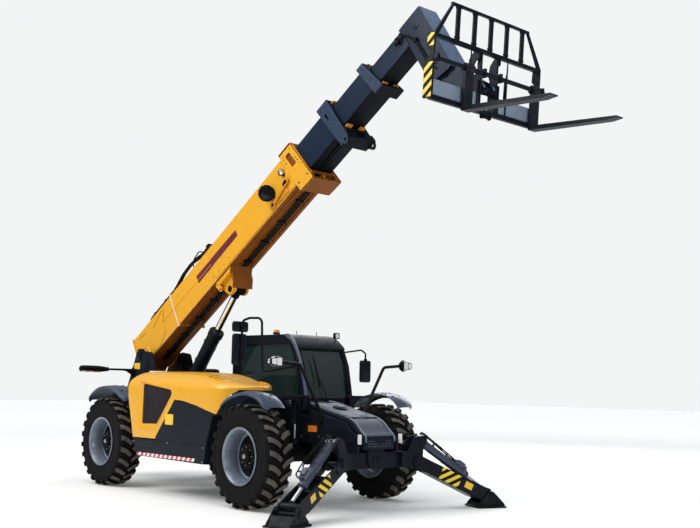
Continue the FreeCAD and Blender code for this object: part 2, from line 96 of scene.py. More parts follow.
def mixed(nt, fac, ca, cb, a=None, b=None):
    m = nt.nodes.new("ShaderNodeMix")
    m.data_type = "RGBA"
    if fac is not None:
        nt.links.new(fac, m.inputs[0])
    m.inputs[6].default_value = (*ca, 1) if ca else (0, 0, 0, 1)
    m.inputs[7].default_value = (*cb, 1) if cb else (0, 0, 0, 1)
    if a is not None:
        nt.links.new(a, m.inputs[6])
    if b is not None:
        nt.links.new(b, m.inputs[7])
    return m


def bumped(nt, bsdf, src, out, strength, distance, before=None):
    b = nt.nodes.new("ShaderNodeBump")
    b.inputs["Strength"].default_value = strength
    b.inputs["Distance"].default_value = distance
    link(nt, src, out, b, "Height")
    if before is not None:
        link(nt, before, "Normal", b, "Normal")
    link(nt, b, "Normal", bsdf, "Normal")
    return b


def paint(name, rgb, rough=0.3, rough_var=0.08, metal=0.0, coat=0.0, var=0.05, scale=2.5, bump=0.10,
          fine=160.0, dust=0.0, dust_top=0.9, dust_rgb=(0.20, 0.17, 0.13), streak=0.0, spec=0.5):
    """Sprayed metal: slow tone drift, faint orange peel, some film of dust low down."""
    m, nt, bsdf = nodes_of(name)
    co = nt.nodes.new("ShaderNodeTexCoord")
    big = noise(nt, co, scale, 4.0)
    f = ramp(nt, big, "Fac", 0.32, 0.68, 0, 1)
    col = mixed(nt, f.outputs[0], [c * (1 - var) for c in rgb], [min(1, c * (1 + var)) for c in rgb])
    last = col.outputs[2]
    if streak:
        st = noise(nt, co, 6.0, 3.0, 0.6, (3.0, 3.0, 0.25))
        sf = ramp(nt, st, "Fac", 0.55, 0.8, 0, streak)
        last = mixed(nt, sf.outputs[0], None, [c * 0.55 for c in rgb], a=last).outputs[2]
    if dust:
        sep = nt.nodes.new("ShaderNodeSeparateXYZ")
        link(nt, co, "Object", sep, "Vector")
        low = ramp(nt, sep, "Z", 0.05, dust_top, 1, 0)
        spots = noise(nt, co, 14.0, 6.0, 0.7)
        sp = ramp(nt, spots, "Fac", 0.42, 0.75, 0, 1)
        mul = nt.nodes.new("ShaderNodeMath")
        mul.operation = "MULTIPLY"
        nt.links.new(low.outputs[0], mul.inputs[0])
        nt.links.new(sp.outputs[0], mul.inputs[1])
        mul2 = nt.nodes.new("ShaderNodeMath")
        mul2.operation = "MULTIPLY"
        nt.links.new(mul.outputs[0], mul2.inputs[0])
        mul2.inputs[1].default_value = dust
        last = mixed(nt, mul2.outputs[0], None, dust_rgb, a=last).outputs[2]
    nt.links.new(last, bsdf.inputs["Base Color"])
    rv = noise(nt, co, scale * 4.0, 5.0, 0.6)
    rr = ramp(nt, rv, "Fac", 0.3, 0.7, max(0.03, rough - rough_var), rough + rough_var)
    nt.links.new(rr.outputs[0], bsdf.inputs["Roughness"])
    bsdf.inputs["Metallic"].default_value = metal
    bsdf.inputs["Coat Weight"].default_value = coat
    bsdf.inputs["Coat Roughness"].default_value = 0.06
    bsdf.inputs["Specular IOR Level"].default_value = spec
    if bump:
        bumped(nt, bsdf, noise(nt, co, fine, 2.0), "Fac", bump, 0.0006)
    m.diffuse_color = (*rgb, 1)
    return m


YELLOW = paint("paint_yellow", (0.76, 0.370, 0.012), rough=0.30, rough_var=0.03, coat=0.35, var=0.02, bump=0.04)
# darker copy of the yellow: painted shade, used on the lamp bracket by boom 1's collar
YELLOW_BRACKET_PAINTED_SHADE = paint("paint_yellow_bracket_painted_shade", (0.62, 0.25, 0.010), rough=0.42, coat=0.1, var=0.08, bump=0.10, streak=0.25)
NAVY = paint("paint_navy", (0.0085, 0.0185, 0.0400), rough=0.34, coat=0.05, var=0.12, bump=0.08, streak=0.2, spec=0.1)
# near-black copy of the navy: painted shade on the boom's undersides and front-facing faces
NAVY_PAINTED_SHADE = paint("paint_navy_painted_shade", (0.0035, 0.0045, 0.0075), rough=0.55, var=0.3, bump=0.15, spec=0.08)
NAVY_COLLAR = paint("paint_navy_collar", (0.0240, 0.0440, 0.0860), rough=0.36, coat=0.08, var=0.12, bump=0.08, streak=0.15, spec=0.16)
# paler copy of the navy: painted light and painted sky reflection on the boom head's front faces
NAVY_PAINTED_LIGHT = paint("paint_navy_front", (0.085, 0.150, 0.260), rough=0.34, coat=0.12, var=0.10, bump=0.06, streak=0.2, spec=0.25)
# brown copy of the yellow: painted shade on boom 1's undersides, front-facing faces and recesses
YELLOW_PAINTED_SHADE = paint("paint_yellow_shaded", (0.235, 0.072, 0.010), rough=0.5, var=0.18, bump=0.12, streak=0.35, spec=0.15)
# pale strip colour: painted highlight along the welded band round boom 1
BAND_PAINTED_HIGHLIGHT = paint("band_painted_highlight", (0.74, 0.56, 0.46), rough=0.4, var=0.08, bump=0.05)
NAVY_GLOSS = paint("paint_blue_grey_gloss", (0.0450, 0.0650, 0.1030), rough=0.30, coat=0.12, var=0.10, bump=0.02, spec=0.18)
NOSE_GLOSS = paint("paint_nose", (0.0100, 0.0130, 0.0210), rough=0.46, coat=0.03, var=0.12, bump=0.02, spec=0.05)
# paler blue-grey: painted highlight on the nose's edge rails
RAIL_PAINTED_HIGHLIGHT = paint("paint_rail_painted_highlight", (0.110, 0.138, 0.185), rough=0.34, coat=0.3, var=0.08, bump=0.02)
DARK = paint("paint_dark", (0.0075, 0.0100, 0.0155), rough=0.34, coat=0.0, var=0.15, bump=0.10, dust=0.05, dust_top=0.6, spec=0.09)
RAMPAINT = paint("paint_ram_gloss", (0.0420, 0.0560, 0.0860), rough=0.24, coat=0.4, var=0.10, bump=0.04, spec=0.25)
DARK_LOW = paint("paint_dark_dusty", (0.0070, 0.0085, 0.0120), rough=0.46, var=0.2, bump=0.2, dust=0.10, dust_top=0.5, spec=0.08)
PANEL = paint("paint_dark_panel", (0.0095, 0.0130, 0.0185), rough=0.36, coat=0.0, var=0.10, bump=0.05, dust=0.03, dust_top=0.6, spec=0.08)
CAST = paint("cast_black", (0.0030, 0.0034, 0.0042), rough=0.55, var=0.25, bump=0.6, fine=90.0, dust=0.04, dust_top=0.9, spec=0.07)
RIM = paint("rim_silver", (0.175, 0.215, 0.270), rough=0.30, metal=0.25, coat=0.4, var=0.06, bump=0.04, dust=0.1, dust_top=0.9)
FORKSTEEL = paint("fork_steel", (0.0140, 0.0180, 0.0240), rough=0.40, coat=0.0, var=0.20, bump=0.18, streak=0.3, spec=0.1)
SLAT = paint("paint_slats", (0.048, 0.060, 0.083), rough=0.40, coat=0.05, var=0.08, bump=0.03, spec=0.15)
# paler blue-grey: painted light on the sloped drop at the nose's front
NOSE_DROP_PAINTED_LIGHT = paint("paint_nose_drop_painted_light", (0.062, 0.076, 0.105), rough=0.36, coat=0.10, var=0.10, bump=0.02, spec=0.2)
LGREY = paint("plate_grey", (0.205, 0.255, 0.330), rough=0.36, coat=0.1, var=0.08, bump=0.06, spec=0.3)
RED = paint("stripe_dark_red", (0.13, 0.012, 0.022), rough=0.35, coat=0.2, var=0.10, bump=0.0)
WHITE = paint("mark_white", (0.78, 0.78, 0.76), rough=0.4, var=0.05, bump=0.0)
TAPE_RED = paint("tape_red", (0.62, 0.015, 0.02), rough=0.3, coat=0.3, var=0.08, bump=0.0)
SIGN = paint("sign_yellow", (0.86, 0.52, 0.02), rough=0.35, coat=0.2, var=0.06, bump=0.0)
HAZ_Y = paint("stripe_yellow", (0.86, 0.60, 0.02), rough=0.4, coat=0.1, var=0.12, bump=0.0, streak=0.15)
HAZ_K = paint("stripe_black", (0.0050, 0.0052, 0.0058), rough=0.4, coat=0.0, var=0.12, bump=0.0, spec=0.1)
ORANGE = paint("reflector_orange", (0.90, 0.25, 0.02), rough=0.25, coat=0.8, var=0.05, bump=0.3, fine=400.0)
ALLOY = paint("engine_alloy", (0.22, 0.22, 0.22), rough=0.5, metal=0.6, var=0.2, bump=0.4, fine=70.0)
STEEL = paint("bolt_steel", (0.42, 0.42, 0.43), rough=0.32, metal=0.9, var=0.12, bump=0.1)
CHROME = paint("chrome_rod", (0.72, 0.73, 0.75), rough=0.10, rough_var=0.04, metal=1.0, var=0.04, bump=0.0)
PLASTIC = paint("plastic_black", (0.0050, 0.0056, 0.0070), rough=0.45, var=0.12, bump=0.5, fine=420.0, spec=0.1)
SHELLBLACK = paint("mirror_shell", (0.0060, 0.0085, 0.0150), rough=0.28, coat=0.08, var=0.08, bump=0.03, spec=0.12)
MESHMAT = paint("grille_wire", (0.058, 0.046, 0.054), rough=0.55, var=0.2, bump=0.0, spec=0.1)
CORE = paint("cooler_core", (0.0110, 0.0085, 0.0115), rough=0.6, var=0.3, bump=0.3, spec=0.08)
WEARPAD = paint("wear_pad", (0.62, 0.26, 0.02), rough=0.5, var=0.15, bump=0.2)
HOSE = paint("hose_rubber", (0.0055, 0.0055, 0.0062), rough=0.5, var=0.2, bump=0.5, fine=500.0, spec=0.1)
CAB_TRIM = paint("cab_lining", (0.035, 0.036, 0.040), rough=0.65, var=0.15, bump=0.5, fine=300.0)


def rubber(name, rgb, dusty):
    """Tyre rubber: matt black, with dried dust caught on raised faces and fine moulding grain."""
    m, nt, bsdf = nodes_of(name)
    co = nt.nodes.new("ShaderNodeTexCoord")
    a = noise(nt, co, 5.0, 6.0, 0.65)
    f = ramp(nt, a, "Fac", 0.42, 0.70, 0, dusty)
    c = mixed(nt, f.outputs[0], rgb, (0.16, 0.145, 0.125))
    nt.links.new(c.outputs[2], bsdf.inputs["Base Color"])
    r = ramp(nt, a, "Fac", 0.3, 0.7, 0.52, 0.82)
    nt.links.new(r.outputs[0], bsdf.inputs["Roughness"])
    bsdf.inputs["Specular IOR Level"].default_value = 0.06
    b = bumped(nt, bsdf, noise(nt, co, 60.0, 5.0, 0.7), "Fac", 0.35, 0.002)
    bumped(nt, bsdf, noise(nt, co, 420.0, 2.0), "Fac", 0.25, 0.0006, b)
    m.diffuse_color = (*rgb, 1)
    return m


TYRE = rubber("tyre_rubber", (0.0058, 0.0058, 0.0068), 0.05)
LUGTOP = rubber("tyre_lug_faces", (0.085, 0.078, 0.070), 0.9)


def glass(name, rgb, alpha, rough=0.02):
    m, nt, bsdf = nodes_of(name)
    co = nt.nodes.new("ShaderNodeTexCoord")
    n = noise(nt, co, 3.0, 3.0)
    f = ramp(nt, n, "Fac", 0.3, 0.7, 0, 1)
    c = mixed(nt, f.outputs[0], [x * 0.8 for x in rgb], [x * 1.2 for x in rgb])
    nt.links.new(c.outputs[2], bsdf.inputs["Base Color"])
    film = noise(nt, co, 9.0, 5.0, 0.7)
    fr = ramp(nt, film, "Fac", 0.35, 0.8, rough, rough + 0.06)
    nt.links.new(fr.outputs[0], bsdf.inputs["Roughness"])
    bsdf.inputs["Alpha"].default_value = alpha
    bsdf.inputs["IOR"].default_value = 1.5
    bsdf.inputs["Coat Weight"].default_value = 0.6
    bsdf.inputs["Coat Roughness"].default_value = 0.01
    m.surface_render_method = "BLENDED"
    m.diffuse_color = (*rgb, alpha)
    return m


GLASS = glass("cab_glass_tinted", (0.012, 0.031, 0.029), 0.76)
LENS = glass("lamp_lens", (0.80, 0.84, 0.88), 0.35)
MIRRORGLASS = paint("mirror_glass", (0.70, 0.73, 0.76), rough=0.04, rough_var=0.01, metal=1.0, var=0.02, bump=0.0)
REFLECTOR = paint("lamp_reflector", (0.85, 0.86, 0.88), rough=0.12, metal=0.9, var=0.05, bump=0.0)
LAMP_RED = paint("lamp_red", (0.50, 0.01, 0.015), rough=0.2, coat=0.9, var=0.1, bump=0.4, fine=300.0)
AMBER = paint("lamp_amber", (0.85, 0.22, 0.01), rough=0.2, coat=0.9, var=0.1, bump=0.4, fine=300.0)


def cloth(name, a_rgb, b_rgb):
    """Woven seat cloth: crossed threads by two waves, with a mottled tone."""
    m, nt, bsdf = nodes_of(name)
    co = nt.nodes.new("ShaderNodeTexCoord")
    w1 = nt.nodes.new("ShaderNodeTexWave")
    w1.bands_direction = "X"
    w1.inputs["Scale"].default_value = 260.0
    w2 = nt.nodes.new("ShaderNodeTexWave")
    w2.bands_direction = "Y"
    w2.inputs["Scale"].default_value = 260.0
    link(nt, co, "Object", w1, "Vector")
    link(nt, co, "Object", w2, "Vector")
    mul = nt.nodes.new("ShaderNodeMath")
    mul.operation = "MULTIPLY"
    link(nt, w1, "Fac", mul, 0)
    link(nt, w2, "Fac", mul, 1)
    n = noise(nt, co, 40.0, 4.0)
    f = ramp(nt, n, "Fac", 0.3, 0.7, 0, 1)
    c = mixed(nt, f.outputs[0], a_rgb, b_rgb)
    nt.links.new(c.outputs[2], bsdf.inputs["Base Color"])
    r = ramp(nt, n, "Fac", 0.3, 0.7, 0.75, 0.95)
    nt.links.new(r.outputs[0], bsdf.inputs["Roughness"])
    bsdf.inputs["Sheen Weight"].default_value = 0.4
    bumped(nt, bsdf, mul, 0, 0.5, 0.0008)
    m.diffuse_color = (*a_rgb, 1)
    return m


CLOTH = cloth("seat_cloth", (0.030, 0.031, 0.034), (0.055, 0.056, 0.060))


# ---------------------------------------------------------------- mesh builder
def fillet(pts, r, seg=4, closed=True):
    """Outline with its corners rounded. r is one radius or one per point."""
    n = len(pts)
    rs = r if isinstance(r, (list, tuple)) else [r] * n
    out = []
    for i in range(n):
        p = Vector(pts[i])
        if not closed and i in (0, n - 1) or rs[i] <= 0:
            out.append(tuple(p))
            continue
        a, b = Vector(pts[i - 1]) - p, Vector(pts[(i + 1) % n]) - p
        la, lb = a.length, b.length
        if la < 1e-6 or lb < 1e-6:
            out.append(tuple(p))
            continue
        a, b = a / la, b / lb
        cosang = max(-1, min(1, a.dot(b)))
        half = math.acos(cosang) / 2
        if half > 1.53:
            out.append(tuple(p))
            continue
        d = min(rs[i] / math.tan(half), la * 0.48, lb * 0.48)
        rad = d * math.tan(half)
        bis = (a + b).normalized()
        c = p + bis * math.hypot(d, rad)
        s, e = p + a * d - c, p + b * d - c
        sweep = math.pi - 2 * half
        for k in range(seg + 1):
            t = k / seg
            w = math.sin(sweep) or 1e-9
            q = (s * math.sin((1 - t) * sweep) + e * math.sin(t * sweep)) / w
            out.append(tuple(c + q))
    return out


class M:
    """Collects faces in one frame of reference; a face keeps the material index it was made with."""

    def __init__(self, tf=RA):
        self.bm = bmesh.new()
        self.tf = tf
        self.mi = 0

    def v(self, p):
        return self.bm.verts.new(self.tf @ Vector(p))

    def f(self, vs, mi=None, smooth=False):
        try:
            face = self.bm.faces.new(vs)
        except ValueError:
            return None
        face.material_index = self.mi if mi is None else mi
        face.smooth = smooth
        return face

    def box(self, x0, x1, y0, y1, z0, z1, mi=None):
        p = [self.v((x, y, z)) for x in (x0, x1) for y in (y0, y1) for z in (z0, z1)]
        for q in ((0, 1, 3, 2), (4, 6, 7, 5), (0, 4, 5, 1), (2, 3, 7, 6), (0, 2, 6, 4), (1, 5, 7, 3)):
            self.f([p[i] for i in q], mi)
        return self

    def prism(self, pts, a, b, axis="y", holes=(), mi=None):
        """Outline (with holes) pushed from a to b along an axis; x: (y, z), y: (x, z), z: (x, y)."""
        put = {"y": lambda p, h: (p[0], h, p[1]), "x": lambda p, h: (h, p[0], p[1]), "z": lambda p, h: (p[0], p[1], h)}[axis]
        loops = [list(pts)] + [list(h) for h in holes]
        flat = [q for lp in loops for q in lp]
        if holes:
            tris = tessellate_polygon([[Vector((q[0], q[1], 0)) for q in lp] for lp in loops])
        lo = [self.v(put(q, a)) for q in flat]
        hi = [self.v(put(q, b)) for q in flat]
        if holes:
            for t in tris:
                self.f([lo[i] for i in t], mi)
                self.f([hi[i] for i in reversed(t)], mi)
        else:
            self.f(lo, mi)
            self.f(list(reversed(hi)), mi)
        base = 0
        for lp in loops:
            n = len(lp)
            for i in range(n):
                j = (i + 1) % n
                self.f([lo[base + i], lo[base + j], hi[base + j], hi[base + i]], mi)
            base += n
        return self

    def ring(self, centre, u, w, r, seg):
        return [self.v(centre + (u * math.cos(k * math.tau / seg) + w * math.sin(k * math.tau / seg)) * r) for k in range(seg)]

    def tube(self, pts, r, seg=12, bend=None, bseg=5, mi=None, caps=True, flat=1.0):
        """Round bar or pipe along a path; bend rounds the corners with that radius."""
        if bend:
            pts = fillet([tuple(p) for p in pts], bend, bseg, closed=False)
        pts = [Vector(p) for p in pts]
        clean = [pts[0]]
        for p in pts[1:]:
            if (p - clean[-1]).length > 1e-4:
                clean.append(p)
        pts = clean
        t0 = (pts[1] - pts[0]).normalized()
        ref = Vector((0, 0, 1)) if abs(t0.z) < 0.9 else Vector((1, 0, 0))
        u = t0.cross(ref).normalized()
        rings = []
        rr = r if callable(r) else (lambda k: r)
        for i, p in enumerate(pts):
            if i == 0:
                t = t0
            elif i == len(pts) - 1:
                t = (pts[i] - pts[i - 1]).normalized()
            else:
                t = ((pts[i] - pts[i - 1]).normalized() + (pts[i + 1] - pts[i]).normalized()).normalized()
            u = (u - t * u.dot(t)).normalized()
            w = t.cross(u)
            k = rr(i / (len(pts) - 1))
            rings.append([self.v(p + (u * math.cos(a * math.tau / seg) + w * math.sin(a * math.tau / seg) * flat) * k) for a in range(seg)])
        for a, b in zip(rings, rings[1:]):
            for i in range(seg):
                j = (i + 1) % seg
                self.f([a[i], a[j], b[j], b[i]], mi, True)
        if caps:
            self.f(list(reversed(rings[0])), mi)
            self.f(rings[-1], mi)
        return self

    def cyl(self, a, b, r, seg=24, r2=None, mi=None, bev=0.0):
        """Round bar from a to b, ends chamfered by bev."""
        a, b = Vector(a), Vector(b)
        r2 = r if r2 is None else r2
        prof = [(0, r)] if not bev else [(0, r - bev), (bev, r)]
        ln = (b - a).length
        prof += [(ln, r2)] if not bev else [(ln - bev, r2), (ln, r2 - bev)]
        return self.lathe([(h, q) for h, q in prof], a, b - a, seg, mi, caps=True)

    def lathe(self, prof, origin, axis, seg=32, mi=None, caps=False, close=False, smooth=True, start=0.0, sweep=math.tau):
        """Profile of (along, radius) turned about an axis."""
        o, t = Vector(origin), Vector(axis).normalized()
        ref = Vector((0, 0, 1)) if abs(t.z) < 0.9 else Vector((1, 0, 0))
        u = t.cross(ref).normalized()
        w = t.cross(u)
        full = abs(sweep - math.tau) < 1e-6
        cnt = seg if full else seg + 1
        rings = []
        for h, q in prof:
            if q < 1e-6:
                rings.append([self.v(o + t * h)])
                continue
            rings.append([self.v(o + t * h + (u * math.cos(start + k * sweep / seg) + w * math.sin(start + k * sweep / seg)) * q) for k in range(cnt)])
        pairs = list(zip(rings, rings[1:]))
        if close:
            pairs.append((rings[-1], rings[0]))
        for a, b in pairs:
            for i in range(seg):
                j = (i + 1) % cnt
                if len(a) == 1 and len(b) == 1:
                    continue
                if len(a) == 1:
                    self.f([a[0], b[j], b[i]], mi, smooth)
                elif len(b) == 1:
                    self.f([a[i], a[j], b[0]], mi, smooth)
                else:
                    self.f([a[i], a[j], b[j], b[i]], mi, smooth)
        if caps:
            if len(rings[0]) > 1:
                self.f(list(reversed(rings[0])), mi)
            if len(rings[-1]) > 1:
                self.f(rings[-1], mi)
        return self

    def bolt(self, p, n, d=16.0, mi=None, washer=True, seg=6):
        """Hexagon head on a washer, standing on p along n."""
        p, n = Vector(p), Vector(n).normalized()
        if washer:
            self.lathe([(0, d * 1.05), (d * 0.12, d * 1.05), (d * 0.16, d * 0.98), (d * 0.16, d * 0.3)], p, n, 16, mi, smooth=False)
        b = d * 0.16 if washer else 0
        self.lathe([(b, d * 0.85), (b + d * 0.5, d * 0.85), (b + d * 0.62, d * 0.72), (b + d * 0.62, 0)], p, n, seg, mi, smooth=False)
        return self

    def grid(self, rows, mi=None, close_u=False, close_v=False, smooth=True):
        """Sheet through rows of points; returns the vertex rows."""
        vr = [[self.v(p) for p in row] for row in rows]
        nu, nv = len(vr), len(vr[0])
        for i in range(nu if close_u else nu - 1):
            for j in range(nv if close_v else nv - 1):
                a, b = vr[i], vr[(i + 1) % nu]
                k = (j + 1) % nv
                self.f([a[j], a[k], b[k], b[j]], mi, smooth)
        return vr

    def slab(self, outer, inner, mi=None, mi_in=None, close_v=False, smooth=True):
        """Closed shell between two sheets of equal rows."""
        vo = self.grid(outer, mi, close_v=close_v, smooth=smooth)
        vi = self.grid([list(r) for r in inner], mi if mi_in is None else mi_in, close_v=close_v, smooth=smooth)
        nu, nv = len(vo), len(vo[0])
        for j in range(nv if close_v else nv - 1):
            k = (j + 1) % nv
            self.f([vo[0][j], vi[0][j], vi[0][k], vo[0][k]], mi)
            self.f([vo[-1][j], vo[-1][k], vi[-1][k], vi[-1][j]], mi)
        if not close_v:
            for i in range(nu - 1):
                self.f([vo[i][0], vo[i + 1][0], vi[i + 1][0], vi[i][0]], mi)
                self.f([vo[i][-1], vi[i][-1], vi[i + 1][-1], vo[i + 1][-1]], mi)
        return self

    def decal(self, quad, mi=None, thick=0.8, normal=None):
        """Thin raised plate over four or more points."""
        q = [Vector(p) for p in quad]
        n = Vector(normal).normalized() if normal else (q[1] - q[0]).cross(q[2] - q[0]).normalized()
        lo, hi = [self.v(p) for p in q], [self.v(p + n * thick) for p in q]
        self.f(list(reversed(lo)), mi)
        self.f(hi, mi)
        for i in range(len(q)):
            j = (i + 1) % len(q)
            self.f([lo[i], lo[j], hi[j], hi[i]], mi)
        return self


PIECES = {}


def paint_light_and_shade_by_facing(m, mi, axis=(0, 0, 1), limit=-0.5):
    """Faces turned away from an axis of M's own frame take another material: a darker copy as painted shade and, on the
    boom head's front, a paler copy as painted light.
    """
    bmesh.ops.remove_doubles(m.bm, verts=m.bm.verts, dist=1e-6)
    bmesh.ops.recalc_face_normals(m.bm, faces=m.bm.faces)
    d = (m.tf.to_3x3() @ Vector(axis)).normalized()
    for face in m.bm.faces:
        if face.normal.dot(d) < limit:
            face.material_index = mi


def piece(name, m, mats, body, bevel=0.0, bseg=2, angle=32.0, smooth=True, normals=True, stands_for=(), subsurf=0):
    """Turns what M collected into one object that rides on a body."""
    if not isinstance(mats, (list, tuple)):
        mats = [mats]
    bm = m.bm
    bmesh.ops.remove_doubles(bm, verts=bm.verts, dist=1e-6)
    if normals:
        bmesh.ops.recalc_face_normals(bm, faces=bm.faces)
    me = bpy.data.meshes.new(name)
    bm.to_mesh(me)
    bm.free()
    for mt in mats:
        me.materials.append(mt)
    ob = bpy.data.objects.new(name, me)
    bpy.context.scene.collection.objects.link(ob)
    if smooth:
        me.polygons.foreach_set("use_smooth", [True] * len(me.polygons))
        me.set_sharp_from_angle(angle=R(38))
    if subsurf:
        s = ob.modifiers.new("subsurf", "SUBSURF")
        s.levels = s.render_levels = subsurf
    if bevel:
        b = ob.modifiers.new("bevel", "BEVEL")
        b.width = bevel / 1000.0
        b.segments = bseg
        b.limit_method = "ANGLE"
        b.angle_limit = R(angle)
        b.use_clamp_overlap = True
        b.harden_normals = True
    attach(ob, body)
    if stands_for:
        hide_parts(*stands_for)
    PIECES[name] = ob
    return ob


def keep(node, mats, body, bevel=3.0, bseg=2, name=None, extra=None, drop=None):
    """A CAD node's own faces, cleaned of their triangles, with softened edges."""
    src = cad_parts[node]
    m = M(Matrix.Identity(4))
    bm = m.bm
    vs = [bm.verts.new(v.co) for v in src.data.vertices]
    for p in src.data.polygons:
        try:
            bm.faces.new([vs[i] for i in p.vertices])
        except ValueError:
            pass
    bmesh.ops.remove_doubles(bm, verts=bm.verts, dist=3e-5)
    bmesh.ops.dissolve_limit(bm, angle_limit=R(1.2), verts=bm.verts, edges=bm.edges)
    if drop:
        drop(bm)
    if extra:
        m.tf = RA
        extra(m)
    return piece(name or ("shown_" + node), m, mats, body, bevel=bevel, bseg=bseg, stands_for=(node,))


def hazard(m, corners, normal, pitch, width, mi_a, mi_b, slant=1.0, thick=0.8, margin=0.0):
    """Diagonal stripes in a four-sided plate given as origin, along and across corners."""
    o, a, b = [Vector(c) for c in corners]
    n = Vector(normal).normalized()
    m.decal([o, a, a + (b - o), b], mi_b, thick, n)
    la, lb = (a - o).length, (b - o).length
    ua, ub = (a - o) / la, (b - o) / lb
    k = -lb * abs(slant) - pitch
    while k < la + lb * abs(slant) + pitch:
        # stripe between k and k + width at across = 0, sheared by slant
        poly = [(k, 0), (k + width, 0), (k + width + slant * lb, lb), (k + slant * lb, lb)]
        for lim, sgn in ((0.0, 1), (la, -1)):
            out = []
            for i in range(len(poly)):
                p, q = poly[i], poly[(i + 1) % len(poly)]
                ip, iq = sgn * (p[0] - lim) >= 0, sgn * (q[0] - lim) >= 0
                if ip:
                    out.append(p)
                if ip != iq:
                    t = (lim - p[0]) / (q[0] - p[0])
                    out.append((lim, p[1] + t * (q[1] - p[1])))
            poly = out
            if not poly:
                break
        if len(poly) >= 3:
            m.decal([o + ua * x + ub * y + n * thick for x, y in poly], mi_a, 0.4, n)
        k += pitch


# ---------------------------------------------------------------- tyres, rims, hubs
CORNERS = (("front_left", 3400.0, 1), ("front_right", 3400.0, -1), ("rear_left", 0.0, 1), ("rear_right", 0.0, -1))
TRACK, TYRE_R, HALF_W = 1046.0, 620.0, 176.0
CARCASS = [(324, -160), (334, -168), (352, -163), (372, -163), (392, -170), (430, -174.5), (470, -175.5), (512, -173.5),
           (516, -176), (524, -176), (529, -172), (550, -167), (568, -158), (581, -140), (588, -112), (590, -60), (590, 0)]
CARCASS += [(r, -y) for r, y in reversed(CARCASS[:-1])]


def crown(y):
    """Lug top radius across the tread, rounded off at the shoulders."""
    a = abs(y)
    return 620.0 - 7.0 * (a / 150.0) ** 2 if a < 150 else 613.0 - (a - 150) * 0.55


def tyre_piece(name, ax, side):
    tf = RA @ Matrix.Translation((ax, side * TRACK, TYRE_R)) @ Matrix.Diagonal((1, side, 1, 1))
    m = M(tf)
    # carcass, as a closed ring; profile runs (y, r) about the Y axis
    m.lathe([(y, r) for r, y in CARCASS] + [(150, 322), (-150, 322)], (0, 0, 0), (0, 1, 0), 96, 0, close=True)
    # centre line of one lug: (y, forward arc, top radius, half width, base radius)
    path = [(-14, 96, crown(14), 27, 586), (-42, 66, crown(42), 31, 586), (-76, 40, crown(76), 31, 586), (-112, 20, crown(112), 31, 582),
            (-146, 8, crown(146), 32, 572), (-170, 2, 598, 33, 556), (-175.6, -2, 566, 31, 548), (-175.9, -4, 540, 24, 532)]
    count = 24
    for sgn in (1, -1):
        for k in range(count):
            base = (k + (0.0 if sgn > 0 else 0.5)) * math.tau / count
            sect = []
            for i, (y, c, rt, hw, rb) in enumerate(path):
                # across direction in (y, arc)
                a = path[max(0, i - 1)]
                b = path[min(len(path) - 1, i + 1)]
                dy, dc = b[0] - a[0], b[1] - a[1]
                ln = math.hypot(dy, dc) or 1
                ny, nc = -dc / ln, dy / ln
                if i >= 5:
                    ny, nc = 0.0, -1.0
                row = []
                for w, rr in ((-(hw + 5), rb), (-hw, rt - 3), (-(hw - 5), rt), (hw - 5, rt), (hw, rt - 3), (hw + 5, rb)):
                    yy = y + ny * w * (0.55 if i in (4,) else 0.8 if i < 4 else 0)
                    cc = c + nc * w
                    if i == len(path) - 1:
                        rr = min(rr, rt)
                    yy = max(-175.9, min(6 if i == 0 else 40, yy))
                    if rr == rb and i >= 5:
                        yy = max(yy, -168.0)
                    th = base + cc / 620.0
                    row.append((rr * math.cos(th), yy * sgn, -rr * math.sin(th)))
                sect.append(row)
            vr = [[m.v(p) for p in row] for row in sect]
            for i in range(len(vr) - 1):
                for j in range(5):
                    m.f([vr[i][j], vr[i][j + 1], vr[i + 1][j + 1], vr[i + 1][j]], 1 if j in (1, 2, 3) and i < 5 else 0)
            m.f(list(reversed(vr[0])), 0)
            m.f(vr[-1], 0)
    return piece("treaded_tyre_" + name, m, [TYRE, LUGTOP], "wheel_" + name, stands_for=("tyre_" + name,))


def rim_piece(name, ax, side):
    tf = RA @ Matrix.Translation((ax, side * TRACK, TYRE_R)) @ Matrix.Diagonal((1, side, 1, 1))
    m = M(tf)
    # outside faces of the rolled rim, from the outer flange to the inner one, then the seat back out
    prof = [(178, 340), (176, 342), (170, 342), (165, 334), (163, 324), (-163, 324), (-165, 334), (-170, 342), (-176, 342), (-178, 338),
            (-177, 330), (-168, 318), (-150, 312), (-120, 296), (120, 292), (130, 298), (150, 302), (160, 312), (170, 320), (177, 331)]
    m.lathe(prof, (0, 0, 0), (0, 1, 0), 72, 0, close=True)
    # lock ring on the outer flange
    m.lathe([(160, 312), (172, 318), (174, 314), (163, 306), (152, 303)], (0, 0, 0), (0, 1, 0), 72, 0, close=True)
    # dished disc
    m.lathe([(-30, 294), (-14, 293), (-6, 284), (-10, 262), (-22, 236), (-26, 200), (-26, 100), (-38, 100), (-38, 200), (-34, 238), (-22, 266), (-20, 284)],
            (0, 0, 0), (0, 1, 0), 72, 0, close=True)
    for k in range(12):
        a = k * math.tau / 12
        m.bolt((206 * math.cos(a), -26, 206 * math.sin(a)), (0, 1, 0), 17, 0)
    # valve stem
    m.tube([(150, -5, 240), (158, 25, 252), (166, 60, 264)], 4, 8)
    return piece("pressed_rim_" + name, m, [RIM], "wheel_" + name, bevel=1.0, bseg=1, stands_for=("rim_" + name,))


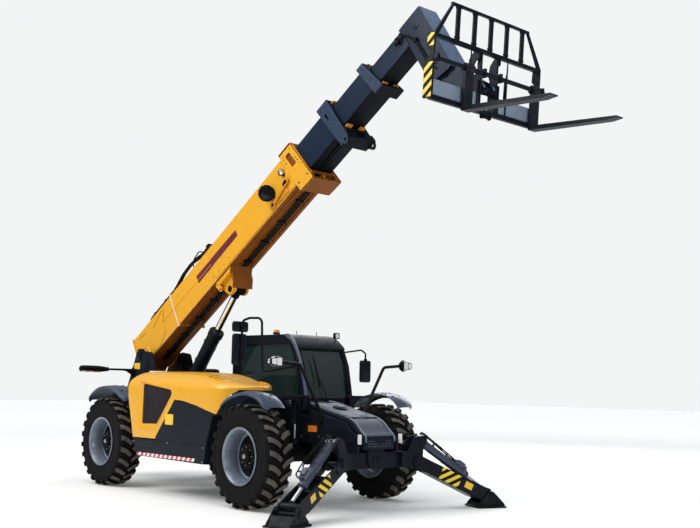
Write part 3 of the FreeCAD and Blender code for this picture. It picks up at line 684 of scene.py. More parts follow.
def hub_piece(name, ax, side):
    tf = RA @ Matrix.Translation((ax, side * TRACK, TYRE_R)) @ Matrix.Diagonal((1, side, 1, 1))
    m = M(tf)
    m.lathe([(-26, 120), (-26, 252), (-16, 258), (-6, 252), (2, 226), (4, 176), (22, 168), (56, 160), (66, 150), (70, 122), (72, 92), (90, 88), (96, 78), (98, 60), (98, 0), (-26, 0)],
            (0, 0, 0), (0, 1, 0), 64, 0)
    for k in range(10):
        a = (k + 0.5) * math.tau / 10
        m.bolt((192 * math.cos(a), 3, 192 * math.sin(a)), (0, 1, 0), 15, 0)
    for k in range(8):
        a = k * math.tau / 8
        m.bolt((107 * math.cos(a), 70, 107 * math.sin(a)), (0, 1, 0), 9, 1, washer=False)
    for k in range(6):
        a = (k + 0.25) * math.tau / 6
        c, s = math.cos(a), math.sin(a)
        m.tube([(150 * c, 8, 150 * s), (166 * c, 40, 166 * s)], 9, 6)
    m.lathe([(98, 30), (106, 28), (108, 20), (108, 0)], (0, 0, 0), (0, 1, 0), 24, 1, smooth=False)
    return piece("planetary_hub_" + name, m, [CAST, STEEL], "wheel_" + name, bevel=1.5, bseg=1)


def knuckle_extra(ax, side):
    def add(m):
        m.tf = RA @ Matrix.Translation((ax, side * 840.0, TYRE_R)) @ Matrix.Diagonal((1, side, 1, 1))
        for z, d in ((172, 1), (-172, -1)):
            m.lathe([(0, 60), (3, 58), (4, 0)], (0, 0, z - 2 * d), (0, 0, d), 24)
        for k in range(12):
            a = k * math.tau / 12
            m.bolt((82 * math.cos(a), 105, 82 * math.sin(a)), (0, 1, 0), 9, None, washer=False)
    return add


for corner, ax, side in CORNERS:
    tyre_piece(corner, ax, side)
    rim_piece(corner, ax, side)
    hub_piece(corner, ax, side)
    keep("knuckle_" + corner, [CAST], "knuckle_" + corner, bevel=4, extra=knuckle_extra(ax, side))


# ---------------------------------------------------------------- small tools for surfaces
def lerp_table(tab, x):
    """Value at x of a table of (x, value), smooth between its rows."""
    if x <= tab[0][0]:
        return tab[0][1]
    for (a, va), (b, vb) in zip(tab, tab[1:]):
        if x <= b:
            t = (x - a) / (b - a)
            return va + (vb - va) * t
    return tab[-1][1]


def soften(tab, n=3, steps=8):
    """Finer table with its corners eased."""
    out = []
    for (a, va), (b, vb) in zip(tab, tab[1:]):
        out += [(a + (b - a) * k / steps, va + (vb - va) * k / steps) for k in range(steps)]
    out.append(tab[-1])
    for _ in range(n):
        out = [out[0]] + [(q[0], (p[1] + 2 * q[1] + r[1]) / 4) for p, q, r in zip(out, out[1:], out[2:])] + [out[-1]]
    return out


def carve(ob, cutters, body):
    """Cuts closed cutters out of a closed piece, exactly."""
    bpy.context.view_layer.update()
    for c in cutters:
        md = ob.modifiers.new("cut", "BOOLEAN")
        md.operation = "DIFFERENCE"
        md.solver = "EXACT"
        md.object = c
    dg = bpy.context.evaluated_depsgraph_get()
    me = bpy.data.meshes.new_from_object(ob.evaluated_get(dg))
    ob.modifiers.clear()
    old = ob.data
    ob.data = me
    bpy.data.meshes.remove(old)
    for c in cutters:
        bpy.data.objects.remove(c)


def cutter(m):
    bm = m.bm
    bmesh.ops.remove_doubles(bm, verts=bm.verts, dist=1e-6)
    bmesh.ops.recalc_face_normals(bm, faces=bm.faces)
    me = bpy.data.meshes.new("cutter")
    bm.to_mesh(me)
    bm.free()
    ob = bpy.data.objects.new("cutter", me)
    bpy.context.scene.collection.objects.link(ob)
    return ob


def finish_edges(ob, bevel=0.0, bseg=2, angle=32.0):
    """Shades a carved piece and softens its edges."""
    me = ob.data
    me.polygons.foreach_set("use_smooth", [True] * len(me.polygons))
    me.set_sharp_from_angle(angle=R(38))
    if bevel:
        b = ob.modifiers.new("bevel", "BEVEL")
        b.width = bevel / 1000.0
        b.segments = bseg
        b.limit_method = "ANGLE"
        b.angle_limit = R(angle)
        b.harden_normals = True


# ---------------------------------------------------------------- engine hood
TOP = soften([(560, 1612), (900, 1619), (1500, 1616), (2000, 1606), (2300, 1590), (2600, 1552), (2850, 1508), (3080, 1468), (3340, 1438)], 3)
LOW = [(612, 726), (1433, 728), (1891, 1251), (2080, 1243), (2400, 1192), (2822, 1093), (2905, 1240), (2990, 1340), (3090, 1394), (3400, 1396)]
SIDE_Y = soften([(560, -1195), (2600, -1195), (2800, -1182), (2930, -1132), (3050, -1030), (3170, -905), (3268, -790)], 2, 6)
REAR_X = [(700, 850), (980, 742), (1210, 648), (1330, 622), (1450, 612), (1700, 612)]


def hood_columns():
    """Plan points, from the inner rear edge round the rear corner, along the side and to the front tip."""
    pts = []
    for k in range(9):
        pts.append((612.0, -365 - (1105 - 365) * k / 9.0))
    for k in range(7):
        a = math.pi - k / 6.0 * math.pi / 2
        pts.append((702 + 90 * math.cos(a), -1105 - 90 * math.sin(a)))
    xs = [760, 850, 950, 1060, 1180, 1300, 1433, 1520, 1610, 1700, 1800, 1891, 1980, 2080, 2200, 2300, 2400, 2500, 2600, 2700, 2780, 2822, 2862, 2905,
          2950, 2990, 3030, 3070, 3110, 3150, 3190, 3230, 3268]
    pts += [(float(x), lerp_table(SIDE_Y, x)) for x in xs]
    pts += [(3266.0, -752.0), (3246.0, -708.0), (3196.0, -640.0), (3118.0, -560.0), (3012.0, -468.0), (2900.0, -372.0)]
    return pts


def hood_surface(inset):
    rows = []
    for x, y in hood_columns():
        front = x > 3060 and y > -700 and y != -365 and x > 3000
        zt = lerp_table(TOP, min(x, 3340)) - inset
        zl = lerp_table(LOW, x) if x > 700 else lerp_table(LOW, 700)
        if x > 3060 or (y > -760 and x > 2800):
            zl = 1396.0
        side = zt - zl
        cz = min(215.0, side * 0.80)
        if x > 2400:
            cz = min(cz, 215 - (x - 2400) * 0.24)
        cz = max(cz, 16.0)
        sx = 1050 + (x - 612) * (2900 - 1050) / (3345 - 612)
        sy = -366.0
        dx, dy = sx - x, sy - y
        dist = math.hypot(dx, dy) or 1.0
        reach = min(330.0, dist * 0.8)
        if x > 2500:
            reach = min(reach, 330 - (x - 2500) * 0.30)
        if dist < 400:
            cz = min(cz, 130.0)
        ux, uy = dx / dist, dy / dist
        col = []
        for k in range(7):
            z = zl + (zt - cz - zl) * k / 6.0
            col.append((x, y, z))
        for k in range(1, 9):
            t = k / 8.0 * math.pi / 2
            d = reach * (1 - math.cos(t) ** 1.15)
            h = cz * math.sin(t) ** 1.05
            col.append((x + ux * d, y + uy * d, zt - cz + h))
        bx, by = col[-1][0], col[-1][1]
        for k in range(1, 7):
            t = k / 6.0
            col.append((bx + (sx - bx) * t, by + (sy - by) * t, zt + 6 * math.sin(t * math.pi)))
        out = []
        for px, py, pz in col:
            # rear edge leans forward low down, and the walls move in by the thickness
            k = max(0.0, 1 - (px - 612) / 620.0)
            px2 = px + (lerp_table(REAR_X, pz) - 612) * k * k
            out.append((px2, py, pz))
        rows.append(out)
    if inset:
        # move the inner sheet in from the walls
        cxx, cyy = 1900.0, -780.0
        rows = [[(px + (inset if px < 1500 else -inset if px > 3000 else 0) * 1.0, min(-366.0, py + inset) if py < -900 else py, pz) for px, py, pz in row] for row in rows]
    return rows


def engine_hood():
    m = M()
    m.slab(hood_surface(0), hood_surface(9.0))
    hood = piece("engine_hood_skin", m, [YELLOW], "engine_hood", stands_for=("engine_hood",))
    vent = [(926, 1496), (1888, 1381), (1458, 848), (956, 838)]
    radii = [110, 60, 90, 70]
    cut = M()
    cut.prism(fillet(vent, radii, 6), -1260, -1110)
    cs = [cutter(cut)]
    for x0 in (2320, 2450, 2580):
        c = M()
        c.prism(fillet([(x0, -760), (x0 + 36, -760), (x0 + 96, -1010), (x0 + 60, -1010)], 16, 4), 1300, 1700, axis="z")
        cs.append(cutter(c))
    carve(hood, cs, "engine_hood")
    finish_edges(hood, 2.5, 2)
    # recessed frame round the vent: outline on the skin, sloping in to the mesh
    f = M()
    outer = fillet(vent, radii, 6)
    mid_o = fillet([(942, 1480), (1866, 1370), (1450, 862), (968, 852)], [98, 50, 80, 60], 6)
    inner = fillet([(1058, 1452), (1838, 1366), (1424, 922), (1052, 912)], [40, 26, 40, 30], 6)

    def lp(o, y):
        return [(x, y, z) for x, z in o]
    rings = [lp(outer, -1176), lp(outer, -1196.5), lp(mid_o, -1196.5), lp(inner, -1168), lp(inner, -1150), lp(mid_o, -1176)]
    vr = f.grid(rings, 0, close_u=True, close_v=True)
    piece("hood_vent_frame", f, [YELLOW], "engine_hood", bevel=2.0)
    # woven wire in a flat rim, and the cooler core behind it
    w = M()
    box_x, box_z = (1040, 1850), (900, 1466)

    def inside(x, z):
        c = False
        n = len(inner)
        for i in range(n):
            (x0, z0), (x1, z1) = inner[i], inner[(i + 1) % n]
            if (z0 > z) != (z1 > z) and x < (x1 - x0) * (z - z0) / (z1 - z0) + x0:
                c = not c
        return c

    def span(vertical, k):
        pts = []
        lo, hi = (900, 1470) if vertical else (1030, 1860)
        q = lo
        while q <= hi:
            if inside(*((k, q) if vertical else (q, k))):
                pts.append(q)
            q += 4
        return (pts[0] - 4, pts[-1] + 4) if pts else None
    x = 1062
    while x < 1840:
        s = span(True, x)
        if s:
            w.box(x - 2.4, x + 2.4, -1166, -1162.5, s[0], s[1], 0)
        x += 24
    z = 920
    while z < 1460:
        s = span(False, z)
        if s:
            w.box(s[0], s[1], -1164.5, -1161, z - 2.4, z + 2.4, 0)
        z += 17
    w.prism(fillet([(1046, 1462), (1846, 1372), (1428, 914), (1044, 904)], 34, 4), -1146, -1140, mi=1)
    for k in range(5):
        zz = 980 + k * 92
        s = span(False, zz)
        if s:
            w.box(s[0] - 6, s[1] + 6, -1160.5, -1152, zz - 4, zz + 4, 1)
    piece("hood_vent_mesh", w, [MESHMAT, CORE], "engine_hood", stands_for=("hood_grille",))
    # louvre blades and hinges
    d = M()
    for x0 in (2320, 2450, 2580):
        for q in range(3):
            yy = -800 - q * 70
            xx = x0 + 18 + q * 17
            zt = lerp_table(TOP, xx)
            d.box(xx - 14, xx + 22, yy - 30, yy + 30, zt - 40, zt - 34, 0)
    for x0 in (1000, 2000):
        d.cyl((x0, -372, 1500), (x0 + 90, -372, 1500), 11, 16)
        d.box(x0 + 5, x0 + 85, -384, -374, 1484, 1560)
    piece("hood_fittings", d, [PLASTIC], "engine_hood", bevel=1.5)


engine_hood()


# ---------------------------------------------------------------- engine bay panels under the hood
def engine_bay():
    keep("engine_bay", [PANEL], "chassis", bevel=4)
    keep("engine_block", [ALLOY], "chassis", bevel=14, bseg=3, extra=engine_details)
    m = M()
    up = fillet([(1452, 742), (1893, 1240), (2070, 1234), (2400, 1184), (2790, 1086), (2660, 716)], [10, 60, 200, 400, 16, 10], 5)
    m.prism(up, -1199, -1184, mi=0)
    lo = fillet([(868, 700), (2652, 692), (2624, 476), (2560, 470), (1010, 484), (985, 492)], [16, 14, 18, 10, 14, 14], 4)
    m.prism(lo, -1197, -1184, mi=0)
    piece("bay_side_panels", m, [PANEL], "chassis", bevel=5, bseg=3)
    b = M()
    for x, z in ((885, 672), (2600, 672), (1040, 512), (2590, 500), (1760, 690)):
        b.lathe([(0, 9), (3, 9), (4.5, 7), (4.5, 0)], (x, -1197, z), (0, -1, 0), 16)
    piece("bay_panel_screws", b, [STEEL], "chassis")
    # red and white tape along the foot of the skirt
    t = M()
    n = 26
    x0, x1 = 985.0, 2400.0
    for k in range(n):
        a, c = x0 + (x1 - x0) * k / n, x0 + (x1 - x0) * (k + 1) / n
        lean = 24
        t.decal([(a, -1197.2, 490), (c, -1197.2, 490), (c + lean, -1197.2, 530), (a + lean, -1197.2, 530)], k % 2, 0.8, (0, -1, 0))
    piece("skirt_tape", t, [TAPE_RED, WHITE], "chassis")
    g = M()
    g.prism(fillet([(1690, 925), (1885, 925), (1885, 1062), (1690, 1062)], 14, 4), -1200.2, -1199, mi=0)
    piece("bay_blank_sign", g, [SIGN], "chassis")


def engine_details(m):
    """Rocker cover, filters and pulleys on the engine block's outside."""
    m.cyl((1300, -980, 1050), (1300, -1060, 1050), 60, 24, bev=4)
    m.cyl((1500, -990, 700), (1500, -1060, 700), 95, 28, bev=5)
    m.cyl((1900, -985, 850), (1900, -1075, 850), 48, 20, bev=4)
    m.box(1350, 2150, -880, -620, 1195, 1250)
    for k in range(6):
        m.bolt((1400 + k * 140, -650, 1250), (0, 0, 1), 12)
        m.bolt((1400 + k * 140, -850, 1250), (0, 0, 1), 12)


engine_bay()


# ---------------------------------------------------------------- fenders
FENDER_REAR = [(-513, 1192), (-400, 1290), (-220, 1375), (-43, 1404), (180, 1390), (400, 1325), (585, 1232)]
FENDER_FRONT = [(2925, 1170), (3000, 1245), (3160, 1325), (3430, 1378), (3650, 1352), (3790, 1290), (3890, 1200)]


def smooth_line(pts, steps=6):
    """Curve through the points."""
    out = []
    P = [Vector((p[0], p[1], 0)) for p in pts]
    P = [P[0] * 2 - P[1]] + P + [P[-1] * 2 - P[-2]]
    for i in range(1, len(P) - 2):
        for k in range(steps):
            t = k / steps
            q = 0.5 * ((2 * P[i]) + (P[i + 1] - P[i - 1]) * t + (2 * P[i - 1] - 5 * P[i] + 4 * P[i + 1] - P[i + 2]) * t * t + (3 * P[i] - P[i - 1] - 3 * P[i + 1] + P[i + 2]) * t ** 3)
            out.append((q.x, q.y))
    out.append(pts[-1])
    return out


def fender(name, line, side, cx, y0=850.0, y1=1210.0):
    pts = smooth_line(line, 6)
    n = len(pts)
    m = M(RA if side > 0 else FLIP @ RA)
    ou, inn = [], []
    for i, (x, z) in enumerate(pts):
        a, b = pts[max(0, i - 1)], pts[min(n - 1, i + 1)]
        tx, tz = b[0] - a[0], b[1] - a[1]
        ln = math.hypot(tx, tz)
        nx, nz = -tz / ln, tx / ln
        e = min(i, n - 1 - i) / 4.0
        cutin = 0 if e >= 1 else 62 * (1 - math.sqrt(max(0.0, 1 - (1 - e) ** 2)))
        yo = y1 - cutin
        mid = 0.5 * (y0 + y1)
        prof = [(y0, -12), (y0 + 8, -3), (y0 + 22, 0), (y0 + 70, 7), (mid - 20, 12), (mid + 55, 10), (y1 - 60, 4), (yo - 26, -1), (yo - 12, -5), (yo - 4, -13), (yo, -24), (yo, -42)]
        prof = [(min(y, yo), h) for y, h in prof]
        ou.append([(x + nx * h, y, z + nz * h) for y, h in prof])
        thin = [(y0 + 7, -15), (y0 + 12, -9), (y0 + 24, -6), (y0 + 70, 1), (mid - 20, 6), (mid + 55, 4), (y1 - 62, -2), (yo - 28, -7), (yo - 17, -11), (yo - 11, -17), (yo - 7, -26), (yo - 6, -42)]
        thin = [(min(y, yo - 6), h) for y, h in thin]
        inn.append([(x + nx * h, y, z + nz * h) for y, h in thin])
    m.slab(ou, inn)
    ob = piece("fender_" + name, m, [NAVY_GLOSS], "chassis", bevel=1.2, bseg=1, angle=50)
    s = M(RA if side > 0 else FLIP @ RA)
    # strut, its clamp plate and the bolts through the guard
    top = lerp_table(sorted(line), cx) - 10
    s.box(cx - 40, cx + 40, 332, 425, 1165, top - 6)
    s.box(cx - 40, cx + 40, 400, y1 - 150, top - 34, top - 8)
    s.prism([(425, top - 34), (560, top - 34), (425, 1200)], cx - 6, cx + 6, axis="x")
    s.box(cx - 70, cx + 70, 332, 344, 1120, 1320)
    for yy in (y0 + 55, y1 - 180):
        for xx in (-26, 26):
            zz = lerp_table(sorted([(p[0], p[1]) for p in pts]), cx + xx)
            s.bolt((cx + xx, yy, zz + 4), (0, 0, 1), 13)
    if "front" in name:
        for xx, yy in ((3700, 1005), (3765, 1070), (3690, 1120)):
            zz = lerp_table(sorted([(p[0], p[1]) for p in pts]), xx) + 7
            s.lathe([(0, 17), (5, 17), (7, 12), (7, 0)], (xx, yy, zz), (0.25, 0, 1), 20)
    else:
        for xx, yy in ((330, 1000), (400, 1060), (365, 1120)):
            zz = lerp_table(sorted([(p[0], p[1]) for p in pts]), xx) + 7
            s.lathe([(0, 17), (5, 17), (7, 12), (7, 0)], (xx, yy, zz), (0.25, 0, 1), 20)
    piece("fender_strut_" + name, s, [DARK], "chassis", bevel=2)
    return ob


fo = fender("rear_left", FENDER_REAR, 1, 0)
fender("rear_right", FENDER_REAR, -1, 0)
fender("front_left", FENDER_FRONT, 1, 3560, 925.0, 1222.0)
fender("front_right", FENDER_FRONT, -1, 3560, 925.0, 1222.0)
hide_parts("fenders")


# ---------------------------------------------------------------- boom
RAM_S, RAM_N = 2807.0, 1537.0
HEAD_S, HEAD_N = 7720.0, 720.0


def rounded(y0, y1, n0, n1, r, seg=5):
    return fillet([(y0, n0), (y1, n0), (y1, n1), (y0, n1)], r, seg)


def tube_section(m, s0, s1, n0, n1, w, wall, r, mi=0):
    m.prism(rounded(-w, w, n0, n1, r), s0, s1, axis="x", holes=[rounded(-w + wall, w - wall, n0 + wall, n1 - wall, max(4, r - wall))], mi=mi)


def pad(m, s, y, n, ls, ly, ln, mi):
    m.box(s - ls / 2, s + ls / 2, y - ly / 2, y + ly / 2, n - ln / 2, n + ln / 2, mi)


def boom_1():
    m = M(BOOM)
    tube_section(m, 330, 4990, 1762, 2310, 216, 10, 26)
    # downward faces take the brown copy: painted shade
    paint_light_and_shade_by_facing(m, 1)
    piece("boom_1_tube", m, [YELLOW, YELLOW_PAINTED_SHADE], "boom_section_1", bevel=2, stands_for=("boom_section_1",))
    d = M(BOOM)
    for sg in (-1, 1):
        y0, y1 = (216, 222) if sg > 0 else (-222, -216)
        # long side doubler with its raked rear end, and the rear cheek plate
        d.prism(fillet([(2860, 2284), (4735, 2284), (4850, 1800), (4850, 1786), (2700, 1786), (2760, 2180)], 20, 4), y0, y1)
        d.prism(fillet([(345, 2292), (1010, 2292), (1320, 2258), (1190, 2040), (1215, 1900), (1000, 1790), (345, 1790)], 22, 4), y0, y1,
                holes=[fillet([(500, 2214), (712, 2208), (712, 2192), (500, 2198)], 7, 3), fillet([(500, 1962), (640, 1962), (640, 1946), (500, 1946)], 7, 3),
                       fillet([(930, 2146), (1268, 2246), (1270, 2230), (936, 2126)], 7, 3)])
        # seam along the side and a row of plug welds
        d.tube([(1225, sg * 217, 2066), (2690, sg * 217, 2048)], 4.5, 6)
        for k in range(4):
            d.lathe([(0, 13), (2, 15), (6, 14), (6, 7), (2, 7)], (2655 + 150 * k, sg * 221, 1862), (0, sg, 0), 18)
        # band welded round the tube
        d.prism([(1548, 2332), (1586, 2334), (1580, 1740), (1542, 1740)], *((216, 226) if sg > 0 else (-226, -216)))
    d.box(1548, 1586, -226, 226, 2310, 2322)
    d.box(1542, 1580, -226, 226, 1750, 1762)
    # rear end plate with its flange
    d.prism(rounded(-232, 232, 1752, 2326, 30), 312, 334, axis="x", holes=[rounded(-150, 150, 1880, 2230, 26)])
    for k in range(4):
        for sg in (-1, 1):
            d.bolt((312, sg * 190, 1830 + k * 140), (-1, 0, 0), 13)
    # top rails carrying the lines
    d.box(1650, 4700, -96, -84, 2310, 2322)
    d.box(1650, 4700, 84, 96, 2310, 2322)
    # boom foot boss
    for sg in (-1, 1):
        d.lathe([(222, 150), (236, 150), (242, 142), (242, 92), (285, 90), (291, 84), (291, 40), (222, 40)], (550, 0, 1870), (0, sg, 0), 40)
        for k in range(8):
            a = k * math.tau / 8
            d.bolt((550 + 120 * math.cos(a), sg * 242, 1870 + 120 * math.sin(a)), (0, sg, 0), 11)
    # longitudinal stiffeners under the tube, in the brown painted shade
    for y in (-150, 128):
        d.box(1650, 2560, y, y + 22, 1744, 1762, 1)
        d.box(3060, 4820, y, y + 22, 1744, 1762, 1)
    # downward faces take the brown painted shade
    paint_light_and_shade_by_facing(d, 1)
    piece("boom_1_plates", d, [YELLOW, YELLOW_PAINTED_SHADE], "boom_section_1", bevel=2.2)
    # pale strips on the band's sides: painted highlight
    e = M(BOOM)
    for sg in (-1, 1):
        e.prism([(1552, 2330), (1582, 2331), (1576, 1742), (1546, 1742)], *((226, 229) if sg > 0 else (-229, -226)))
    piece("boom_1_band", e, [BAND_PAINTED_HIGHLIGHT], "boom_section_1", bevel=0.8, bseg=1)

    # collar at the front end
    c = M(BOOM)
    OUT = [(4720, 2347), (4990, 2345), (5140, 1622), (4850, 1632)]
    win = fillet([(4830, 2240), (4922, 2238), (4976, 2010), (4878, 2014)], 14, 4)
    for sg in (-1, 1):
        y0, y1 = (222, 247) if sg > 0 else (-247, -222)
        c.prism(fillet(OUT, [10, 10, 16, 16], 3), y0, y1, holes=[win])
        # plate seen through the window, in the brown painted shade
        c.prism(fillet([(4822, 2250), (4934, 2248), (4988, 1998), (4866, 2002)], 14, 4), *((214, 224) if sg > 0 else (-224, -214)), mi=1)
        for s, n in ((4772, 2290), (4955, 2288), (4800, 2006), (5036, 1962)):
            c.lathe([(-12, 0), (-12, 12), (2, 12), (2, 20), (0, 22), (-14, 22)], (s, sg * 247, n), (0, sg, 0), 22, 0)
            c.lathe([(-10, 0), (-10, 12.5)], (s, sg * 247, n), (0, sg, 0), 22, 2)
        for s, n, dd in ((4782, 2216, 9), (4798, 2140, 9), (4996, 2088, 9), (5012, 2030, 9), (4880, 1740, 12), (5070, 1730, 12)):
            c.bolt((s, sg * 247, n), (0, sg, 0), dd, 2)
    # top plate with a lifting eye
    c.box(4724, 4992, -247, 247, 2320, 2350)
    c.box(4735, 4755, -40, 40, 2350, 2372)
    c.prism(fillet([(4715, 2350), (4800, 2350), (4790, 2400), (4728, 2400)], 22, 5), 196, 212, holes=[fillet([(4742, 2364), (4776, 2364), (4772, 2388), (4746, 2388)], 10, 4)])
    # underside box with its two windows
    c.box(4856, 4880, -222, 222, 1630, 1762)
    c.prism([(-222, 1622), (222, 1622), (222, 1758), (-222, 1758)], 5104, 5128, axis="x",
            holes=[fillet([(-190, 1646), (-24, 1646), (-24, 1726), (-190, 1726)], 10, 3), fillet([(24, 1646), (190, 1646), (190, 1726), (24, 1726)], 10, 3)])
    c.box(4862, 5128, -222, 222, 1620, 1640)
    c.box(4870, 5110, -12, 12, 1640, 1758)
    c.prism([(4990, 2310), (5014, 2308), (5118, 1762), (5094, 1762)], -222, -200)
    c.prism([(4990, 2310), (5014, 2308), (5118, 1762), (5094, 1762)], 200, 222)
    # downward and front-facing faces take the brown painted shade
    paint_light_and_shade_by_facing(c, 1)
    paint_light_and_shade_by_facing(c, 1, (-1, 0, 0), -0.9)
    piece("boom_1_collar", c, [YELLOW, YELLOW_PAINTED_SHADE, CAST], "boom_section_1", bevel=3)

    # ram bracket: cheeks, back plate, lug and pin
    b = M(BOOM)
    EAR = fillet([(2560, 1764), (3070, 1764), (3006, 1694), (2990, 1600), (2908, 1484), (2862, 1456), (2770, 1456), (2718, 1510), (2640, 1640)],
                 [4, 4, 40, 60, 30, 40, 50, 30, 60], 5)
    for sg in (-1, 1):
        b.prism(EAR, *((92, 118) if sg > 0 else (-118, -92)))
        b.lathe([(118, 74), (132, 74), (136, 68), (136, 30), (92, 30)], (RAM_S, 0, RAM_N), (0, sg, 0), 32)
        b.box(RAM_S - 16, RAM_S + 16, *((118, 150) if sg > 0 else (-150, -118)), RAM_N + 50, RAM_N + 62)
        b.prism([(2600, 1764), (3040, 1764), (2980, 1700), (2680, 1700)], *((118, 190) if sg > 0 else (-190, -118)))
        b.box(RAM_S + 60, RAM_S + 100, *((118, 124) if sg > 0 else (-124, -118)), RAM_N - 20, RAM_N + 160)
        for k in range(3):
            b.bolt((RAM_S - 30 + 30 * k, sg * 136, RAM_N + (-26 if k == 1 else 20)), (0, sg, 0), 9)
    b.prism(fillet([(2566, 1764), (2650, 1764), (2700, 1640), (2668, 1600), (2630, 1612)], 20, 5), -176, -158, holes=[fillet([(2632, 1660), (2668, 1660), (2668, 1624), (2632, 1624)], 17, 5)])
    # back plate and inner side plate in the brown painted shade, and the front-facing faces too
    b.prism([(3064, 1762), (3050, 1762), (2992, 1694), (2978, 1602), (2900, 1492), (2908, 1484), (2990, 1598), (3006, 1692)], -170, 170, mi=1)
    b.prism([(2700, 1764), (3050, 1764), (2990, 1694), (2760, 1722)], -176, -166, mi=1)
    paint_light_and_shade_by_facing(b, 1, (-1, 0, 0), -0.6)
    piece("boom_1_ram_bracket", b, [YELLOW, YELLOW_PAINTED_SHADE], "boom_section_1", bevel=3)
    p = M(BOOM)
    for sg in (-1, 1):
        p.lathe([(136, 46), (146, 44), (150, 38), (150, 14), (145, 10), (145, 0)], (RAM_S, 0, RAM_N), (0, sg, 0), 32)
    piece("boom_1_ram_pin_ends", p, [CAST], "boom_section_1")

    # marks: dark red stripe, no lettering
    k = M(BOOM)
    for sg in (-1, 1):
        # the doubler plate stands proud of the tube from its raked rear edge on
        for s0, s1, y in ((2290, 2722, 216.4), (2722, 3420, 222.4)):
            def lo(s):
                return 2003 + (s - 2290) * 8 / 1130.0
            def hi(s):
                return 2134 - (s - 2290) * 22 / 1130.0
            q = [(s0, sg * y, lo(s0)), (s1, sg * y, lo(s1)), (s1, sg * y, hi(s1)), (s0, sg * y, hi(s0))]
            k.decal(q if sg < 0 else q[::-1], 0, 0.9, (0, sg, 0))
    piece("boom_1_stripe", k, [RED], "boom_section_1")

    # steel lines on top and underneath, held by clamps
    h = M(BOOM)
    for y, r in ((-14, 15), (26, 12), (58, 12)):
        h.tube([(430, y, 2150), (440, y, 2340), (640, y, 2346), (1300, y, 2350), (4660, y, 2346), (4700, y, 2330)], r, 10, bend=70)
    for k, y in enumerate((-196, -168, -138)):
        h.tube([(900, y, 2316), (960, y, 2326), (1700, y, 2326), (1800, y, 2352 + 16 * k), (1980, y + 4, 2402 + 14 * k), (2200, y + 8, 2418 + 12 * k), (2420, y + 10, 2392),
                (2540, y + 10, 2360), (2640, y + 10, 2352)], 14, 10, bend=90)
    h.tube([(2260, -186, 2330), (2300, -186, 2420), (2480, -182, 2452), (2560, -182, 2380)], 9, 8, bend=60)
    for y in (-40, 0, 40):
        h.tube([(700, y, 1735), (2500, y, 1735)], 12, 10)
        h.tube([(3100, y, 1735), (4840, y, 1735)], 12, 10)
    piece("boom_1_lines", h, [HOSE], "boom_section_1")
    q = M(BOOM)
    for s in (760, 1220, 1660, 2560, 2960, 3400, 3850, 4300, 4640):
        q.box(s - 18, s + 18, -76, 78, 2310, 2371)
        q.bolt((s, -34, 2371), (0, 0, 1), 8)
        q.bolt((s, 42, 2371), (0, 0, 1), 8)
    for s in (900, 1350, 1800, 2250, 3200, 3650, 4100, 4550):
        q.box(s - 16, s + 16, -62, 62, 1719, 1762)
    for y in (-186, -158, -128):
        q.cyl((2620, y, 2352), (2700, y, 2352), 21, 6, bev=3)
    q.box(2690, 2760, -210, -104, 2310, 2382)
    for s in (1050, 1400, 1720):
        q.box(s - 16, s + 16, -212, -120, 2310, 2344)
    piece("boom_1_clamps", q, [PLASTIC], "boom_section_1", bevel=3)

    # work lamps on the right side by the collar
    w = M(BOOM)
    w.box(4250, 4640, -236, -222, 1800, 1880, 0)
    w.prism(fillet([(4220, 1790), (4720, 1900), (4740, 1980), (4640, 1960), (4560, 1900), (4240, 1850)], 20, 4), -262, -250, mi=0)
    w.box(4270, 4330, -262, -222, 1795, 1850, 0)
    w.box(4600, 4700, -262, -222, 1900, 1960, 0)
    # the bracket takes the darker yellow copy: painted shade
    piece("boom_1_lamp_bracket", w, [YELLOW_BRACKET_PAINTED_SHADE], "boom_section_1", bevel=3)
    a = M(BOOM)
    ax = Vector((0.86, -0.35, -0.36)).normalized()
    c0 = Vector((4325, -318, 2000))
    a.lathe([(-80, 0), (-80, 40), (-66, 72), (-30, 106), (10, 118), (36, 118), (44, 110), (44, 100), (36, 98)], tuple(c0), tuple(ax), 12, 0, smooth=False)
    a.lathe([(36, 98), (42, 70), (44, 0)], tuple(c0), tuple(ax), 32, 1)
    for k in range(6):
        w = k * math.tau / 12
        u1 = ax.cross(Vector((0, 0, 1))).normalized()
        u2 = ax.cross(u1)
        dd = u1 * math.cos(w) + u2 * math.sin(w)
        a.tube([tuple(c0 + ax * 46 + dd * 100), tuple(c0 + ax * 54 + dd * 40), tuple(c0 + ax * 54 - dd * 40), tuple(c0 + ax * 46 - dd * 100)], 3.5, 6, mi=0)
    for k in range(6):
        a.box(4345 - 60 + k * 13, 4345 - 54 + k * 13, -250, -236, 1950, 2040, 0)
    a.tube([(4345, -232, 2090), (4345, -262, 2100), (4345, -300, 2080)], 8, 8, bend=10, mi=0)
    a.box(4318, 4372, -246, -222, 1960, 2110, 0)
    c1 = Vector((4668, -262, 2096))
    a.lathe([(-52, 0), (-50, 22), (-30, 38), (6, 44), (14, 44), (16, 40), (10, 38)], tuple(c1), tuple(ax), 24, 0)
    a.lathe([(10, 38), (18, 26), (20, 0)], tuple(c1), tuple(ax), 24, 2)
    a.box(4655, 4682, -250, -222, 2040, 2084, 0)
    piece("boom_1_work_lamps", a, [PLASTIC, SHELLBLACK, REFLECTOR], "boom_section_1", bevel=1.5)


